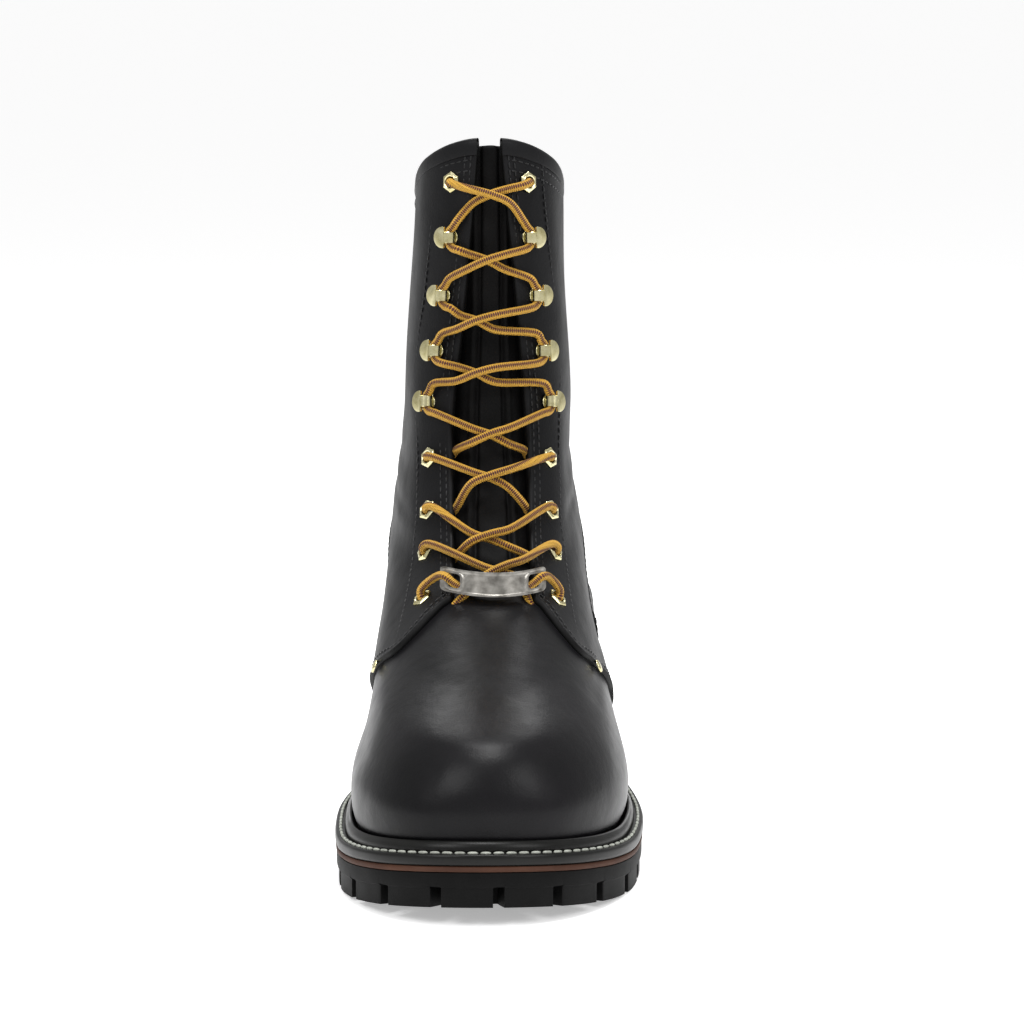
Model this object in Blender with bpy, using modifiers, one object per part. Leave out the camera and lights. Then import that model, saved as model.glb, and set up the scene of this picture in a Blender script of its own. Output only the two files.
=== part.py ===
"""Lace up logger boot with a plain safety toe and a lugged sole, left foot.

Metres, +Z up. The toe points to -Y and the big toe side is -X. The origin is on
the floor under the middle of the sole. Along the foot, "run" is the distance
behind the tip of the sole.
"""
import math

import bmesh
import bpy
from mathutils import Matrix, Vector

# Driving sizes
SOLE_LENGTH = 0.312
BALL_WIDTH = 0.107
SHAFT_WIDTH = 0.070
SHAFT_HEIGHT = 0.250
FOREFOOT_STACK = 0.020
HEEL_RISE = 0.031
TOE_SPRING = 0.008

# Leather
LEATHER = 0.0018
QUARTER_STEP = 0.0012
COLLAR_STEP = 0.0007
COUNTER_STEP = 0.0012
OVERLAY_ROOT = 0.0008
TONGUE_THICKNESS = 0.0026
TONGUE_HALF_WIDTH = 0.027
COLLAR_BAND = 0.0045

# Sole layers
GAP = 0.0003
WELT_THICKNESS = 0.0044
MIDSOLE_THICKNESS = 0.0020
WELT_REACH_FRONT = 0.0090
WELT_REACH_BACK = 0.0065
BEAD_HEIGHT = 0.0046
BEAD_WIDTH = 0.0052
BEAD_GAP = 0.0006
INSOLE_RISE = 0.0030
FOREFOOT_OUTSOLE = FOREFOOT_STACK - WELT_THICKNESS - MIDSOLE_THICKNESS - 2 * GAP
SHANK_OUTSOLE = 0.0060
LUG_HEIGHT = 0.0077
LUG_PITCH = 0.0235
LUG_LENGTH = 0.0185
LUG_GROOVE = 0.0042
LUG_STEP = 0.0008
LUG_START = 0.0072
HEEL_BREAST = 0.226
HEEL_LIFT = 0.0085
HEEL_TAPER_BACK = 0.011
HEEL_TAPER_SIDE = 0.0035

# Hardware and lace
LACE_RADIUS = 0.00165
EYELET_ACROSS = 0.0086
EYELET_PLATE = 0.0009
EYELET_BORE = 0.0021
EYELET_BARREL = 0.0026
HOOK_STRIP = 0.0009
HOOK_MOUTH = 0.0040
HOOK_REACH = 0.0042
HOOK_CAP = 0.0086
HOOK_NECK = 0.0046
HOOK_BEND_PLACE = 0.0006
HOOK_FOOT_RADIUS = 0.0036
HOOK_FOOT = 0.0007
HOOK_FOOT_REACH = 0.0028
RIVET_RADIUS = 0.0026
RIVET_HEIGHT = 0.0011
EYELET_PAST_LEATHER = 0.0006
EYELET_CUT = 0.0120
FITTING_GAP = 0.0007
KNEE_INSET = 0.0035
LACE_UNDER = 0.0004
TAG_LENGTH = 0.0356
TAG_HEIGHT = 0.0096
TAG_THICKNESS = 0.0010
TAG_GAP = 0.0009

# Cutters reach this far past what they cut
CUT_PAST = 0.0040

# The seat line under the upper: run as a share of SOLE_LENGTH, toe spring and heel rise
# as shares of TOE_SPRING and HEEL_RISE
SEAT_LINE = (
    (0.000, 1.00, 0.000), (0.064, 0.52, 0.000), (0.128, 0.17, 0.000), (0.192, 0.00, 0.000),
    (0.369, 0.00, 0.000), (0.417, 0.00, 0.026), (0.465, 0.00, 0.097), (0.513, 0.00, 0.219),
    (0.609, 0.00, 0.500), (0.705, 0.00, 0.774), (0.801, 0.00, 0.935), (0.897, 0.00, 0.987),
    (1.000, 0.00, 1.000),
)

# Sections of the upper, from the sole to the collar. Each is a ring between a front
# point and a back point. Columns: name, the width that scales it, front run and back
# run (shares of SOLE_LENGTH) with their heights above the seat (shares of SHAFT_HEIGHT),
# half the throat, and the ring's half width at every 15 degrees from front to back.
SECTIONS = (
    ("feather", BALL_WIDTH, 0.029, 0.002, 0.979, 0.002, 0.150,
     (0.183, 0.327, 0.430, 0.467, 0.456, 0.374, 0.313, 0.313, 0.329, 0.290, 0.187)),
    ("bead", BALL_WIDTH, 0.024, 0.026, 0.984, 0.022, 0.150,
     (0.204, 0.351, 0.453, 0.495, 0.486, 0.407, 0.348, 0.344, 0.355, 0.318, 0.210)),
    ("bulge", BALL_WIDTH, 0.022, 0.062, 0.986, 0.048, 0.150,
     (0.206, 0.353, 0.453, 0.491, 0.482, 0.419, 0.366, 0.363, 0.374, 0.338, 0.224)),
    ("toe_wall", BALL_WIDTH, 0.032, 0.104, 0.986, 0.076, 0.145,
     (0.176, 0.322, 0.418, 0.453, 0.455, 0.421, 0.383, 0.378, 0.385, 0.346, 0.229)),
    ("toe_brow", BALL_WIDTH, 0.054, 0.145, 0.983, 0.108, 0.140,
     (0.154, 0.285, 0.374, 0.416, 0.430, 0.417, 0.387, 0.383, 0.388, 0.346, 0.224)),
    ("toe_top", BALL_WIDTH, 0.087, 0.175, 0.979, 0.136, 0.136,
     (0.143, 0.253, 0.341, 0.382, 0.403, 0.407, 0.382, 0.379, 0.377, 0.335, 0.217)),
    ("vamp_front", BALL_WIDTH, 0.179, 0.227, 0.966, 0.193, 0.136,
     (0.112, 0.211, 0.292, 0.341, 0.374, 0.384, 0.372, 0.368, 0.357, 0.310, 0.198)),
    ("vamp", BALL_WIDTH, 0.282, 0.282, 0.955, 0.245, 0.145,
     (0.102, 0.186, 0.255, 0.312, 0.349, 0.368, 0.368, 0.359, 0.337, 0.285, 0.180)),
    ("vamp_top", SHAFT_WIDTH, 0.381, 0.337, 0.949, 0.297, 0.223,
     (0.134, 0.257, 0.368, 0.457, 0.515, 0.543, 0.545, 0.526, 0.486, 0.401, 0.245)),
    ("instep", SHAFT_WIDTH, 0.449, 0.389, 0.947, 0.353, 0.217,
     (0.143, 0.283, 0.397, 0.465, 0.506, 0.520, 0.518, 0.499, 0.459, 0.375, 0.223)),
    ("high_instep", SHAFT_WIDTH, 0.503, 0.464, 0.949, 0.413, 0.217,
     (0.146, 0.286, 0.399, 0.452, 0.481, 0.490, 0.485, 0.465, 0.422, 0.343, 0.199)),
    ("ankle", SHAFT_WIDTH, 0.535, 0.565, 0.954, 0.485, 0.209,
     (0.153, 0.290, 0.397, 0.450, 0.472, 0.478, 0.470, 0.450, 0.408, 0.327, 0.186)),
    ("low_shaft", SHAFT_WIDTH, 0.549, 0.700, 0.960, 0.577, 0.160,
     (0.148, 0.279, 0.384, 0.432, 0.451, 0.455, 0.448, 0.428, 0.385, 0.307, 0.174)),
    ("high_shaft", SHAFT_WIDTH, 0.555, 0.849, 0.966, 0.685, 0.107,
     (0.140, 0.265, 0.363, 0.411, 0.428, 0.432, 0.425, 0.406, 0.365, 0.290, 0.164)),
    ("collar", SHAFT_WIDTH, 0.561, 0.982, 0.970, 0.772, 0.067,
     (0.131, 0.250, 0.341, 0.388, 0.407, 0.412, 0.404, 0.386, 0.347, 0.276, 0.157)),
)
# How far the middle of a ring lies to the outer side of the foot, by degrees round it,
# as a share of BALL_WIDTH at the feather; it fades out by the top of the vamp
SIDE_SWING = (-0.040, -0.036, -0.030, -0.018, -0.006, 0.000, 0.016, 0.032, 0.020, 0.006, 0.0, 0.0, 0.0)
MIDDLE_SHIFT = -0.0038
# The top of the vamp leans to the outer side, as a share of BALL_WIDTH, by section
RIDGE_SWING = (0.0, 0.0, 0.0, 0.004, 0.008, 0.012, 0.018, 0.020, 0.020, 0.014, 0.008, 0.0, 0.0, 0.0, -0.006)
# The sides lean to the inner side of the foot, as a share of BALL_WIDTH, by section
SIDE_LEAN = (0.0, 0.0, 0.0, 0.0, -0.010, -0.024, -0.030, -0.030, -0.028, -0.030, -0.024, -0.015, -0.011, -0.011, 0.0)
RING_STEPS = (1, 1, 1, 1, 1, 2, 2, 2, 2, 1, 2, 1, 1, 2)
STEP_DEGREES = 15
SIDE_COLUMNS = 15
THROAT_COLUMNS = 4
VAMP_EDGE = 8
COLLAR = len(SECTIONS) - 1

# Side outlines of the overlays: run (share of SOLE_LENGTH), height (share of SHAFT_HEIGHT)
QUARTER_FRONT = (
    (0.300, 1.25), (0.300, 0.49), (0.372, 0.402), (0.355, 0.374), (0.343, 0.352), (0.339, 0.336),
    (0.346, 0.321), (0.365, 0.307), (0.391, 0.291), (0.420, 0.269), (0.449, 0.246), (0.468, 0.230),
    (0.479, 0.212), (0.492, 0.198),
)
COUNTER_FRONT = (
    (0.655, 0.200), (0.668, 0.262), (0.692, 0.335), (0.735, 0.400), (0.795, 0.448), (0.870, 0.475),
    (1.060, 0.490),
)
OVERLAY_FOOT = 0.0060

# Lacing rows from the bottom: half spacing (share of SHAFT_WIDTH), height (share of
# SHAFT_HEIGHT) and what is fitted there
LACING = (
    (0.370, 0.392, "eyelet"), (0.358, 0.452, "eyelet"), (0.344, 0.512, "eyelet"),
    (0.337, 0.592, "eyelet"), (0.326, 0.680, "hook"), (0.286, 0.764, "hook"),
    (0.251, 0.854, "hook"), (0.212, 0.948, "hook"), (0.209, 1.036, "eyelet"),
)
RIVET_PLACE = (0.385, 0.286)
# Where the tongue starts under the vamp and ends below the collar, in sections, and
# where it leaves the leather
TONGUE_ROOT = 7.72
TONGUE_TOP = 0.10
TONGUE_LEAVES = (8.05, 8.95)
# How far a crossing starts above a row, as a share of the way to the next
HOOK_START = 0.10
FACING_START = 0.22
BAR_SAG = 0.42


def clear_scene():
    for item in list(bpy.data.objects):
        bpy.data.objects.remove(item, do_unlink=True)


def make_collection(name):
    collection = bpy.data.collections.new(name)
    bpy.context.scene.collection.children.link(collection)
    return collection


def make_material(name, color, roughness, metallic=0.0):
    material = bpy.data.materials.new(name)
    material.use_nodes = True
    shader = material.node_tree.nodes["Principled BSDF"]
    shader.inputs["Base Color"].default_value = (*color, 1.0)
    shader.inputs["Roughness"].default_value = roughness
    shader.inputs["Metallic"].default_value = metallic
    return material


def cubic(before, start, end, after, share):
    """Catmull-Rom curve between start and end."""
    rise = end - before
    bend = 2 * before - 5 * start + 4 * end - after
    twist = 3 * start - before - 3 * end + after
    return 0.5 * (2 * start + rise * share + bend * share ** 2 + twist * share ** 3)


def blend_rows(rows, place):
    """Smooth value at a fractional row number."""
    last = len(rows) - 1
    index = min(max(int(math.floor(place)), 0), last - 1)
    share = place - index
    before = rows[index - 1] if index > 0 else 2 * rows[0] - rows[1]
    after = rows[index + 2] if index + 2 <= last else 2 * rows[last] - rows[last - 1]
    return cubic(before, rows[index], rows[index + 1], after, share)


def monotone(points, place):
    """Piecewise curve through points that never overshoots them."""
    if place <= points[0][0]:
        return points[0][1]
    if place >= points[-1][0]:
        return points[-1][1]
    slopes = [(b[1] - a[1]) / (b[0] - a[0]) for a, b in zip(points, points[1:])]
    index = max(i for i, point in enumerate(points[:-1]) if point[0] <= place)

    def tangent(i):
        if i == 0 or i == len(points) - 1:
            return slopes[0] if i == 0 else slopes[-1]
        left, right = slopes[i - 1], slopes[i]
        return 0.0 if left * right <= 0 else 2 * left * right / (left + right)

    width = points[index + 1][0] - points[index][0]
    share = (place - points[index][0]) / width
    start, end = points[index][1], points[index + 1][1]
    pull = width * share * (1 - share)
    turn = tangent(index) * (1 - share) - tangent(index + 1) * share
    smooth = share * share * (3 - 2 * share)
    return start + (end - start) * smooth + pull * turn


def seat(run):
    """Height of the seat line, the top of the welt, at a distance behind the toe."""
    share = run / SOLE_LENGTH
    spring = monotone([(row[0], row[1]) for row in SEAT_LINE], share)
    rise = monotone([(row[0], row[2]) for row in SEAT_LINE], share)
    return FOREFOOT_STACK + TOE_SPRING * spring + HEEL_RISE * rise


def to_y(run):
    return run - SOLE_LENGTH / 2


def ring_half_width(place, degrees):
    """Half width of the ring at a fractional section and an angle from the front."""
    step = degrees / STEP_DEGREES
    index = min(int(step), 11)

    def column(number):
        if number < 0:
            return -column(-number)
        if number > 12:
            return -column(24 - number)
        if number in (0, 12):
            return 0.0
        return blend_rows([row[1] * row[7][number - 1] for row in SECTIONS], place)

    values = [column(index + offset) for offset in (-1, 0, 1, 2)]
    return cubic(*values, step - index)


def ring_middle(place, degrees):
    """Sideways place of the ring's middle line."""
    fade = max(0.0, 1 - place / VAMP_EDGE)
    low = blend_rows(SIDE_SWING, degrees / STEP_DEGREES) * fade
    front = (1 + math.cos(math.radians(degrees))) / 2
    lean = blend_rows(SIDE_LEAN, place) * math.sin(math.radians(degrees))
    return BALL_WIDTH * (low + lean + blend_rows(RIDGE_SWING, place) * front - MIDDLE_SHIFT)


def ring_end(place, run_column, height_column):
    run = SOLE_LENGTH * blend_rows([row[run_column] for row in SECTIONS], place)
    lift = SHAFT_HEIGHT * blend_rows([row[height_column] for row in SECTIONS], place)
    return run, seat(run) + lift


def skin_point(place, angle):
    """Point on the upper's outer face. The angle is 0 at the front, 180 at the back,
    and positive on the outer side of the foot."""
    degrees = abs(angle)
    front_run, front_z = ring_end(place, 2, 3)
    back_run, back_z = ring_end(place, 4, 5)
    share = (1 - math.cos(math.radians(degrees))) / 2
    run = front_run + (back_run - front_run) * share
    line = front_z + (back_z - front_z) * share
    chord = seat(front_run) + (seat(back_run) - seat(front_run)) * share
    fade = max(0.0, 1 - place / VAMP_EDGE) ** 2
    height = line + (seat(run) - chord) * fade
    side = math.copysign(ring_half_width(place, degrees), angle)
    return Vector((ring_middle(place, degrees) + side, to_y(run), height))


def skin_frame(place, angle):
    """Outward normal, the way up the wall and the way round it."""
    small = 0.02
    low, high = max(place - small, 0.0), min(place + small, float(COLLAR))
    up = skin_point(high, angle) - skin_point(low, angle)
    around = skin_point(place, angle + 0.5) - skin_point(place, angle - 0.5)
    if abs(angle) > 179.4:
        around = Vector((-math.copysign(1, angle), 0, 0))
    if abs(angle) < 0.6:
        around = Vector((1, 0, 0))
    normal = around.cross(up).normalized()
    return normal, up.normalized(), around.normalized()


def skin(place, angle, lift=0.0):
    """Point that stands off the upper's face by a distance."""
    return skin_point(place, angle) + skin_frame(place, angle)[0] * lift


def angle_at(place, half_width):
    """Angle at which the ring first reaches a half width, from the front."""
    low, high = 0.0, 75.0
    for _ in range(30):
        middle = (low + high) / 2
        if ring_half_width(place, middle) < half_width:
            low = middle
        else:
            high = middle
    return (low + high) / 2


def throat_angle(place):
    half = blend_rows([row[1] * row[6] for row in SECTIONS], place)
    return angle_at(place, half)


def ring_places():
    places = [0.0]
    for index, steps in enumerate(RING_STEPS):
        places += [index + (step + 1) / steps for step in range(steps)]
    return places


def side_angles(place, setback=0.0):
    """Angles from the throat's edge round the back to the other edge."""
    start = throat_angle(place) + setback
    step = (180 - start) / SIDE_COLUMNS
    side = [start + step * i for i in range(SIDE_COLUMNS + 1)]
    return side + [-value for value in reversed(side[:-1])]


def front_angles(place):
    """Angles across the throat, between its edges."""
    edge = throat_angle(place)
    return [-edge + 2 * edge * i / THROAT_COLUMNS for i in range(1, THROAT_COLUMNS)]


def new_object(name, mesh, collection, material=None):
    item = bpy.data.objects.new(name, mesh)
    collection.objects.link(item)
    if material:
        mesh.materials.append(material)
    return item


def mesh_from_bmesh(name, work, smooth_degrees=None):
    bmesh.ops.remove_doubles(work, verts=work.verts, dist=0.000005)
    bmesh.ops.recalc_face_normals(work, faces=work.faces)
    mesh = bpy.data.meshes.new(name)
    work.to_mesh(mesh)
    work.free()
    if smooth_degrees:
        mesh.shade_smooth()
        mesh.set_sharp_from_angle(angle=math.radians(smooth_degrees))
    return mesh


def sheet_mesh(name, places, angle_rows, lift, open_from=None, closed=True):
    """Open surface over the rings. Columns past the side columns cross the throat, and
    are left out from the ring number open_from upwards."""
    work = bmesh.new()
    grid = [[work.verts.new(skin(place, angle, lift(place))) for angle in angles]
            for place, angles in zip(places, angle_rows)]
    columns = len(angle_rows[0])
    side_faces = 2 * SIDE_COLUMNS
    for row in range(len(places) - 1):
        for column in range(columns if closed else columns - 1):
            if open_from is not None and row >= open_from and column >= side_faces:
                continue
            after = (column + 1) % columns
            work.faces.new((grid[row][column], grid[row][after],
                            grid[row + 1][after], grid[row + 1][column]))
    loose = [vert for vert in work.verts if not vert.link_faces]
    bmesh.ops.delete(work, geom=loose, context="VERTS")
    mesh = bpy.data.meshes.new(name)
    work.to_mesh(mesh)
    work.free()
    mesh.shade_smooth()
    return mesh


def add_wall(item, thickness):
    wall = item.modifiers.new("Wall", "SOLIDIFY")
    wall.thickness = thickness
    wall.offset = -1.0
    wall.use_even_offset = True
    return wall


def add_boolean(item, other, operation, use_self=False):
    cut = item.modifiers.new(operation.title(), "BOOLEAN")
    cut.operation = operation
    cut.solver = "EXACT"
    cut.object = other
    cut.use_self = use_self
    other.hide_render = True
    other.display_type = "WIRE"
    return cut


def side_prism(name, outline, collection):
    """Cutter of a side outline, drawn through the whole width."""
    work = bmesh.new()
    left = [work.verts.new((-BALL_WIDTH, to_y(run), height)) for run, height in outline]
    face = work.faces.new(left)
    grown = bmesh.ops.extrude_face_region(work, geom=[face])
    moved = [part for part in grown["geom"] if isinstance(part, bmesh.types.BMVert)]
    bmesh.ops.translate(work, verts=moved, vec=(2 * BALL_WIDTH, 0, 0))
    return new_object(name, mesh_from_bmesh(name, work), collection)


def seat_edge(start_run, end_run, count):
    runs = [start_run + (end_run - start_run) * i / count for i in range(count + 1)]
    return [(run, seat(run) + OVERLAY_FOOT) for run in runs]


def build_overlay(name, places, lift, setback, outline, collection):
    angle_rows = [side_angles(place, setback) for place in places]
    mesh = sheet_mesh(name, places, angle_rows, lambda place: lift, closed=False)
    item = new_object(name, mesh, collection)
    add_wall(item, lift + OVERLAY_ROOT)
    if outline:
        add_boolean(item, side_prism(name + "_outline", outline, collection), "INTERSECT")
    return item


def build_upper(parts, cutters, material, holes):
    places = ring_places()
    edge_ring = places.index(float(VAMP_EDGE))
    angle_rows = [side_angles(place) + front_angles(place) for place in places]
    mesh = sheet_mesh("upper", places, angle_rows, lambda place: 0.0, open_from=edge_ring)
    upper = new_object("upper", mesh, parts, material)
    add_wall(upper, LEATHER)

    far = SOLE_LENGTH * 1.1
    top = SHAFT_HEIGHT * 1.25
    front = [(run * SOLE_LENGTH, height * SHAFT_HEIGHT) for run, height in QUARTER_FRONT]
    foot = seat_edge(front[-1][0] + 0.006, far, 12)
    quarter_outline = front + foot + [(far, top)]
    quarter_places = [place for place in places if place < COLLAR] + [COLLAR - 0.02]
    quarter = build_overlay("quarter", quarter_places, QUARTER_STEP, 0.8, quarter_outline, cutters)

    counter_edge = [(run * SOLE_LENGTH, height * SHAFT_HEIGHT) for run, height in COUNTER_FRONT]
    counter_outline = seat_edge(far, counter_edge[0][0], 8) + counter_edge
    counter_places = [place for place in places if place <= 11]
    counter_lift = QUARTER_STEP + COUNTER_STEP
    counter = build_overlay("counter", counter_places, counter_lift, 1.7, counter_outline, cutters)

    band_share = COLLAR_BAND / (skin_point(COLLAR, 90) - skin_point(COLLAR - 1, 90)).length
    band_places = [COLLAR - band_share, COLLAR - 0.008]
    band = build_overlay("collar_band", band_places, QUARTER_STEP + COLLAR_STEP, 1.3, None, cutters)

    for overlay in (quarter, counter, band):
        add_boolean(upper, overlay, "UNION")
    add_boolean(upper, holes, "DIFFERENCE")
    return upper


def outline_point(degrees, side, reach):
    """Point at a distance outside the upper's lower edge, seen from above."""
    small = 0.5
    here = skin_point(0.0, side * degrees)
    if degrees < small:
        across = Vector((side, 0, 0))
    elif degrees > 180 - small:
        across = Vector((-side, 0, 0))
    else:
        across = skin_point(0.0, side * (degrees + small)) - skin_point(0.0, side * (degrees - small))
        across.z = 0
    outward = Vector((across.y * side, -across.x * side, 0)).normalized()
    run = here.y + SOLE_LENGTH / 2
    share = min(max((run / SOLE_LENGTH - 0.45) / 0.4, 0.0), 1.0)
    welt = WELT_REACH_FRONT + (WELT_REACH_BACK - WELT_REACH_FRONT) * share
    distance = welt + reach[1] if reach[0] == "welt" else reach[1]
    return here + outward * distance


def outline(reach, count=22, first=0.0):
    """Left and right edge points from the toe, or from an angle, to the heel."""
    degrees = [first + (180 - first) * i / count for i in range(count + 1)]
    return [(outline_point(value, -1, reach), outline_point(value, 1, reach)) for value in degrees]


def degrees_at_run(run, reach):
    low, high = 0.0, 180.0
    for _ in range(40):
        middle = (low + high) / 2
        if outline_point(middle, 1, reach).y < to_y(run):
            low = middle
        else:
            high = middle
    return (low + high) / 2


def loft_pairs(name, levels):
    """Closed solid from levels of left and right point pairs, top level first."""
    work = bmesh.new()
    rows = [[(work.verts.new(left), work.verts.new(right)) for left, right in level] for level in levels]
    count = len(levels[0])
    for upper_row, lower_row in zip(rows, rows[1:]):
        for i in range(count - 1):
            for side in (0, 1):
                work.faces.new((upper_row[i][side], upper_row[i + 1][side],
                                lower_row[i + 1][side], lower_row[i][side]))
        for i in (0, count - 1):
            work.faces.new((upper_row[i][0], upper_row[i][1], lower_row[i][1], lower_row[i][0]))
    for row in (rows[0], rows[-1]):
        for i in range(count - 1):
            work.faces.new((row[i][0], row[i][1], row[i + 1][1], row[i + 1][0]))
    bmesh.ops.remove_doubles(work, verts=work.verts, dist=0.00001)
    bmesh.ops.dissolve_degenerate(work, edges=work.edges, dist=0.000001)
    bmesh.ops.triangulate(work, faces=work.faces)
    return mesh_from_bmesh(name, work, 40)


def run_of(point):
    return point.y + SOLE_LENGTH / 2


def at_height(pairs, height_of):
    return [tuple(Vector((p.x, p.y, height_of(run_of(p)))) for p in pair) for pair in pairs]


def outsole_thickness(run):
    points = ((0.0, FOREFOOT_OUTSOLE), (0.40, FOREFOOT_OUTSOLE), (0.465, 0.77 * FOREFOOT_OUTSOLE),
              (0.53, SHANK_OUTSOLE + 0.001), (0.58, SHANK_OUTSOLE), (1.0, SHANK_OUTSOLE))
    return monotone(points, run / SOLE_LENGTH)


def outsole_top(run):
    return seat(run) - WELT_THICKNESS - MIDSOLE_THICKNESS - 2 * GAP


def tread(run):
    """Underside of the outsole."""
    return max(outsole_top(run) - outsole_thickness(run), 0.0)


def groove_box(work, centre, direction, length, width, top):
    """One groove of the tread: an upright box that reaches below the floor."""
    made = bmesh.ops.create_cube(work, size=1.0)
    depth = top + CUT_PAST
    turn = Matrix.Rotation(math.atan2(direction.y, direction.x), 4, "Z")
    place = Matrix.Translation((centre.x, centre.y, top - depth / 2))
    size = Matrix.Diagonal((length, width, depth, 1.0))
    bmesh.ops.transform(work, verts=made["verts"], matrix=place @ turn @ size)


def edge_grooves(work, reach, start, stop, length, pitch, start_at, top_of):
    """Grooves square to the sole's edge, one each pitch. The first on the outer side lies
    at start_at from the toe tip."""
    for side in (-1, 1):
        travelled, wanted = 0.0, start_at if side == 1 else pitch - start_at
        before = outline_point(start, side, reach)
        steps = 360
        for i in range(steps + 1):
            degrees = start + (stop - start) * i / steps
            here = outline_point(degrees, side, reach)
            travelled += (here - before).xy.length
            if travelled >= wanted:
                inward = outline_point(degrees, side, (reach[0], reach[1] - 0.01)) - here
                inward.z = 0
                inward.normalize()
                centre = here + inward * (length / 2 - 0.003)
                groove_box(work, centre, inward, length + 0.006, LUG_GROOVE, top_of(run_of(here)))
            if travelled >= wanted:
                wanted += pitch
            before = here


def inner_groove(work, reach, stop):
    """Groove that follows the sole's edge behind the outer lugs."""
    count = 22
    degrees = [-stop + 2 * stop * i / count for i in range(count + 1)]
    rings = []
    for value in degrees:
        side = -1 if value < 0 else 1
        outer = outline_point(abs(value), side, (reach[0], reach[1] - LUG_LENGTH))
        inner = outline_point(abs(value), side, (reach[0], reach[1] - LUG_LENGTH - LUG_GROOVE))
        top = tread(run_of(outer)) + LUG_HEIGHT
        rings.append([work.verts.new((p.x, p.y, z)) for p, z in
                      ((outer, top), (inner, top), (inner, -CUT_PAST), (outer, -CUT_PAST))])
    for before, after in zip(rings, rings[1:]):
        for i in range(4):
            j = (i + 1) % 4
            work.faces.new((before[i], after[i], after[j], before[j]))
    work.faces.new(rings[0])
    work.faces.new(rings[-1])


def lug_top(run):
    return tread(run) + LUG_HEIGHT


def build_outsole(parts, cutters, material):
    edge = ("welt", -GAP)
    pairs = outline(edge)
    inset = outline(("welt", -GAP - LUG_STEP))
    band = 1 - LUG_HEIGHT / FOREFOOT_OUTSOLE
    levels = [
        at_height(pairs, outsole_top),
        at_height(pairs, lambda run: outsole_top(run) - band * outsole_thickness(run)),
        at_height(inset, lambda run: outsole_top(run) - (band + 0.05) * outsole_thickness(run)),
        at_height(inset, tread),
    ]
    outsole = new_object("outsole", loft_pairs("outsole", levels), parts, material)

    work = bmesh.new()
    lug_stop = degrees_at_run(0.45 * SOLE_LENGTH, edge)
    edge_grooves(work, edge, 0.0, lug_stop, LUG_LENGTH, LUG_PITCH, LUG_START, lug_top)
    cross_runs = [0.155, 0.230, 0.305, 0.380]
    for share in cross_runs:
        run = share * SOLE_LENGTH
        value = degrees_at_run(run, edge)
        inner = (edge[0], edge[1] - LUG_LENGTH - 0.5 * LUG_GROOVE)
        left = outline_point(value, -1, inner)
        right = outline_point(value, 1, inner)
        centre = Vector(((left.x + right.x) / 2, to_y(run), 0))
        width = right.x - left.x
        groove_box(work, centre, Vector((1, 0, 0)), width, LUG_GROOVE, lug_top(run))
    stop_run = 0.455 * SOLE_LENGTH
    groove_box(work, Vector((0, to_y(stop_run), 0)), Vector((1, 0, 0)), 1.4 * BALL_WIDTH, LUG_GROOVE,
               lug_top(stop_run))
    inner_groove(work, edge, lug_stop)
    bmesh.ops.recalc_face_normals(work, faces=work.faces)
    grooves_mesh = bpy.data.meshes.new("grooves")
    work.to_mesh(grooves_mesh)
    work.free()
    grooves = new_object("grooves", grooves_mesh, cutters)
    add_boolean(outsole, grooves, "DIFFERENCE", use_self=True)
    return outsole


def build_midsole(parts, material):
    pairs = outline(("welt", 0.0))
    top = at_height(pairs, lambda run: seat(run) - WELT_THICKNESS - GAP)
    low = at_height(pairs, lambda run: seat(run) - WELT_THICKNESS - GAP - MIDSOLE_THICKNESS)
    return new_object("midsole", loft_pairs("midsole", [top, low]), parts, material)


def build_insole(parts, material):
    pairs = outline(("feather", -LEATHER - 0.0008))
    top = at_height(pairs, lambda run: seat(run) + INSOLE_RISE)
    low = at_height(pairs, lambda run: seat(run) - WELT_THICKNESS)
    return new_object("insole", loft_pairs("insole", [top, low]), parts, material)


def welt_profile(lean):
    """Cross section of the welt and its bead: distance outside the upper, height. The
    last entry says that the distance counts from the welt's edge."""
    inner = -LEATHER - 0.0008 + GAP
    rise = BEAD_HEIGHT
    return (
        (inner, -WELT_THICKNESS, False), (inner, 0.0, False), (BEAD_GAP, 0.0, False),
        (BEAD_GAP + lean, 0.9 * rise, False), (BEAD_GAP + lean + 0.35 * BEAD_WIDTH, rise, False),
        (0.85 * BEAD_WIDTH, 0.78 * rise, False),
        (1.05 * BEAD_WIDTH, 0.34 * rise, False), (BEAD_WIDTH, 0.0, False),
        (-0.0005, 0.0, True), (0.0, -0.0005, True), (0.0, -WELT_THICKNESS, True),
    )


def build_welt(parts, material):
    count = 44
    work = bmesh.new()
    rings = []
    for i in range(count):
        angle = 360 * i / count
        side, degrees = (1, angle) if angle <= 180 else (-1, 360 - angle)
        wall = skin_point(0.0, side * degrees)
        above = skin_point(0.0, side * degrees)
        place = 0.0
        while above.z < wall.z + BEAD_HEIGHT and place < 1.5:
            place += 0.02
            above = skin_point(place, side * degrees)
        outward = outline_point(degrees, side, ("feather", 1.0)) - wall
        outward.z = 0
        outward.normalize()
        lean = max((above - wall).dot(outward), 0.0)
        ring = []
        for distance, height, from_edge in welt_profile(lean):
            kind = "welt" if from_edge else "feather"
            point = outline_point(degrees, side, (kind, distance))
            ring.append(work.verts.new((point.x, point.y, seat(run_of(point)) + height)))
        rings.append(ring)
    size = len(rings[0])
    for i in range(count):
        before, after = rings[i], rings[(i + 1) % count]
        for j in range(size):
            k = (j + 1) % size
            work.faces.new((before[j], after[j], after[k], before[k]))
    return new_object("welt", mesh_from_bmesh("welt", work, 50), parts, material)


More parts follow.
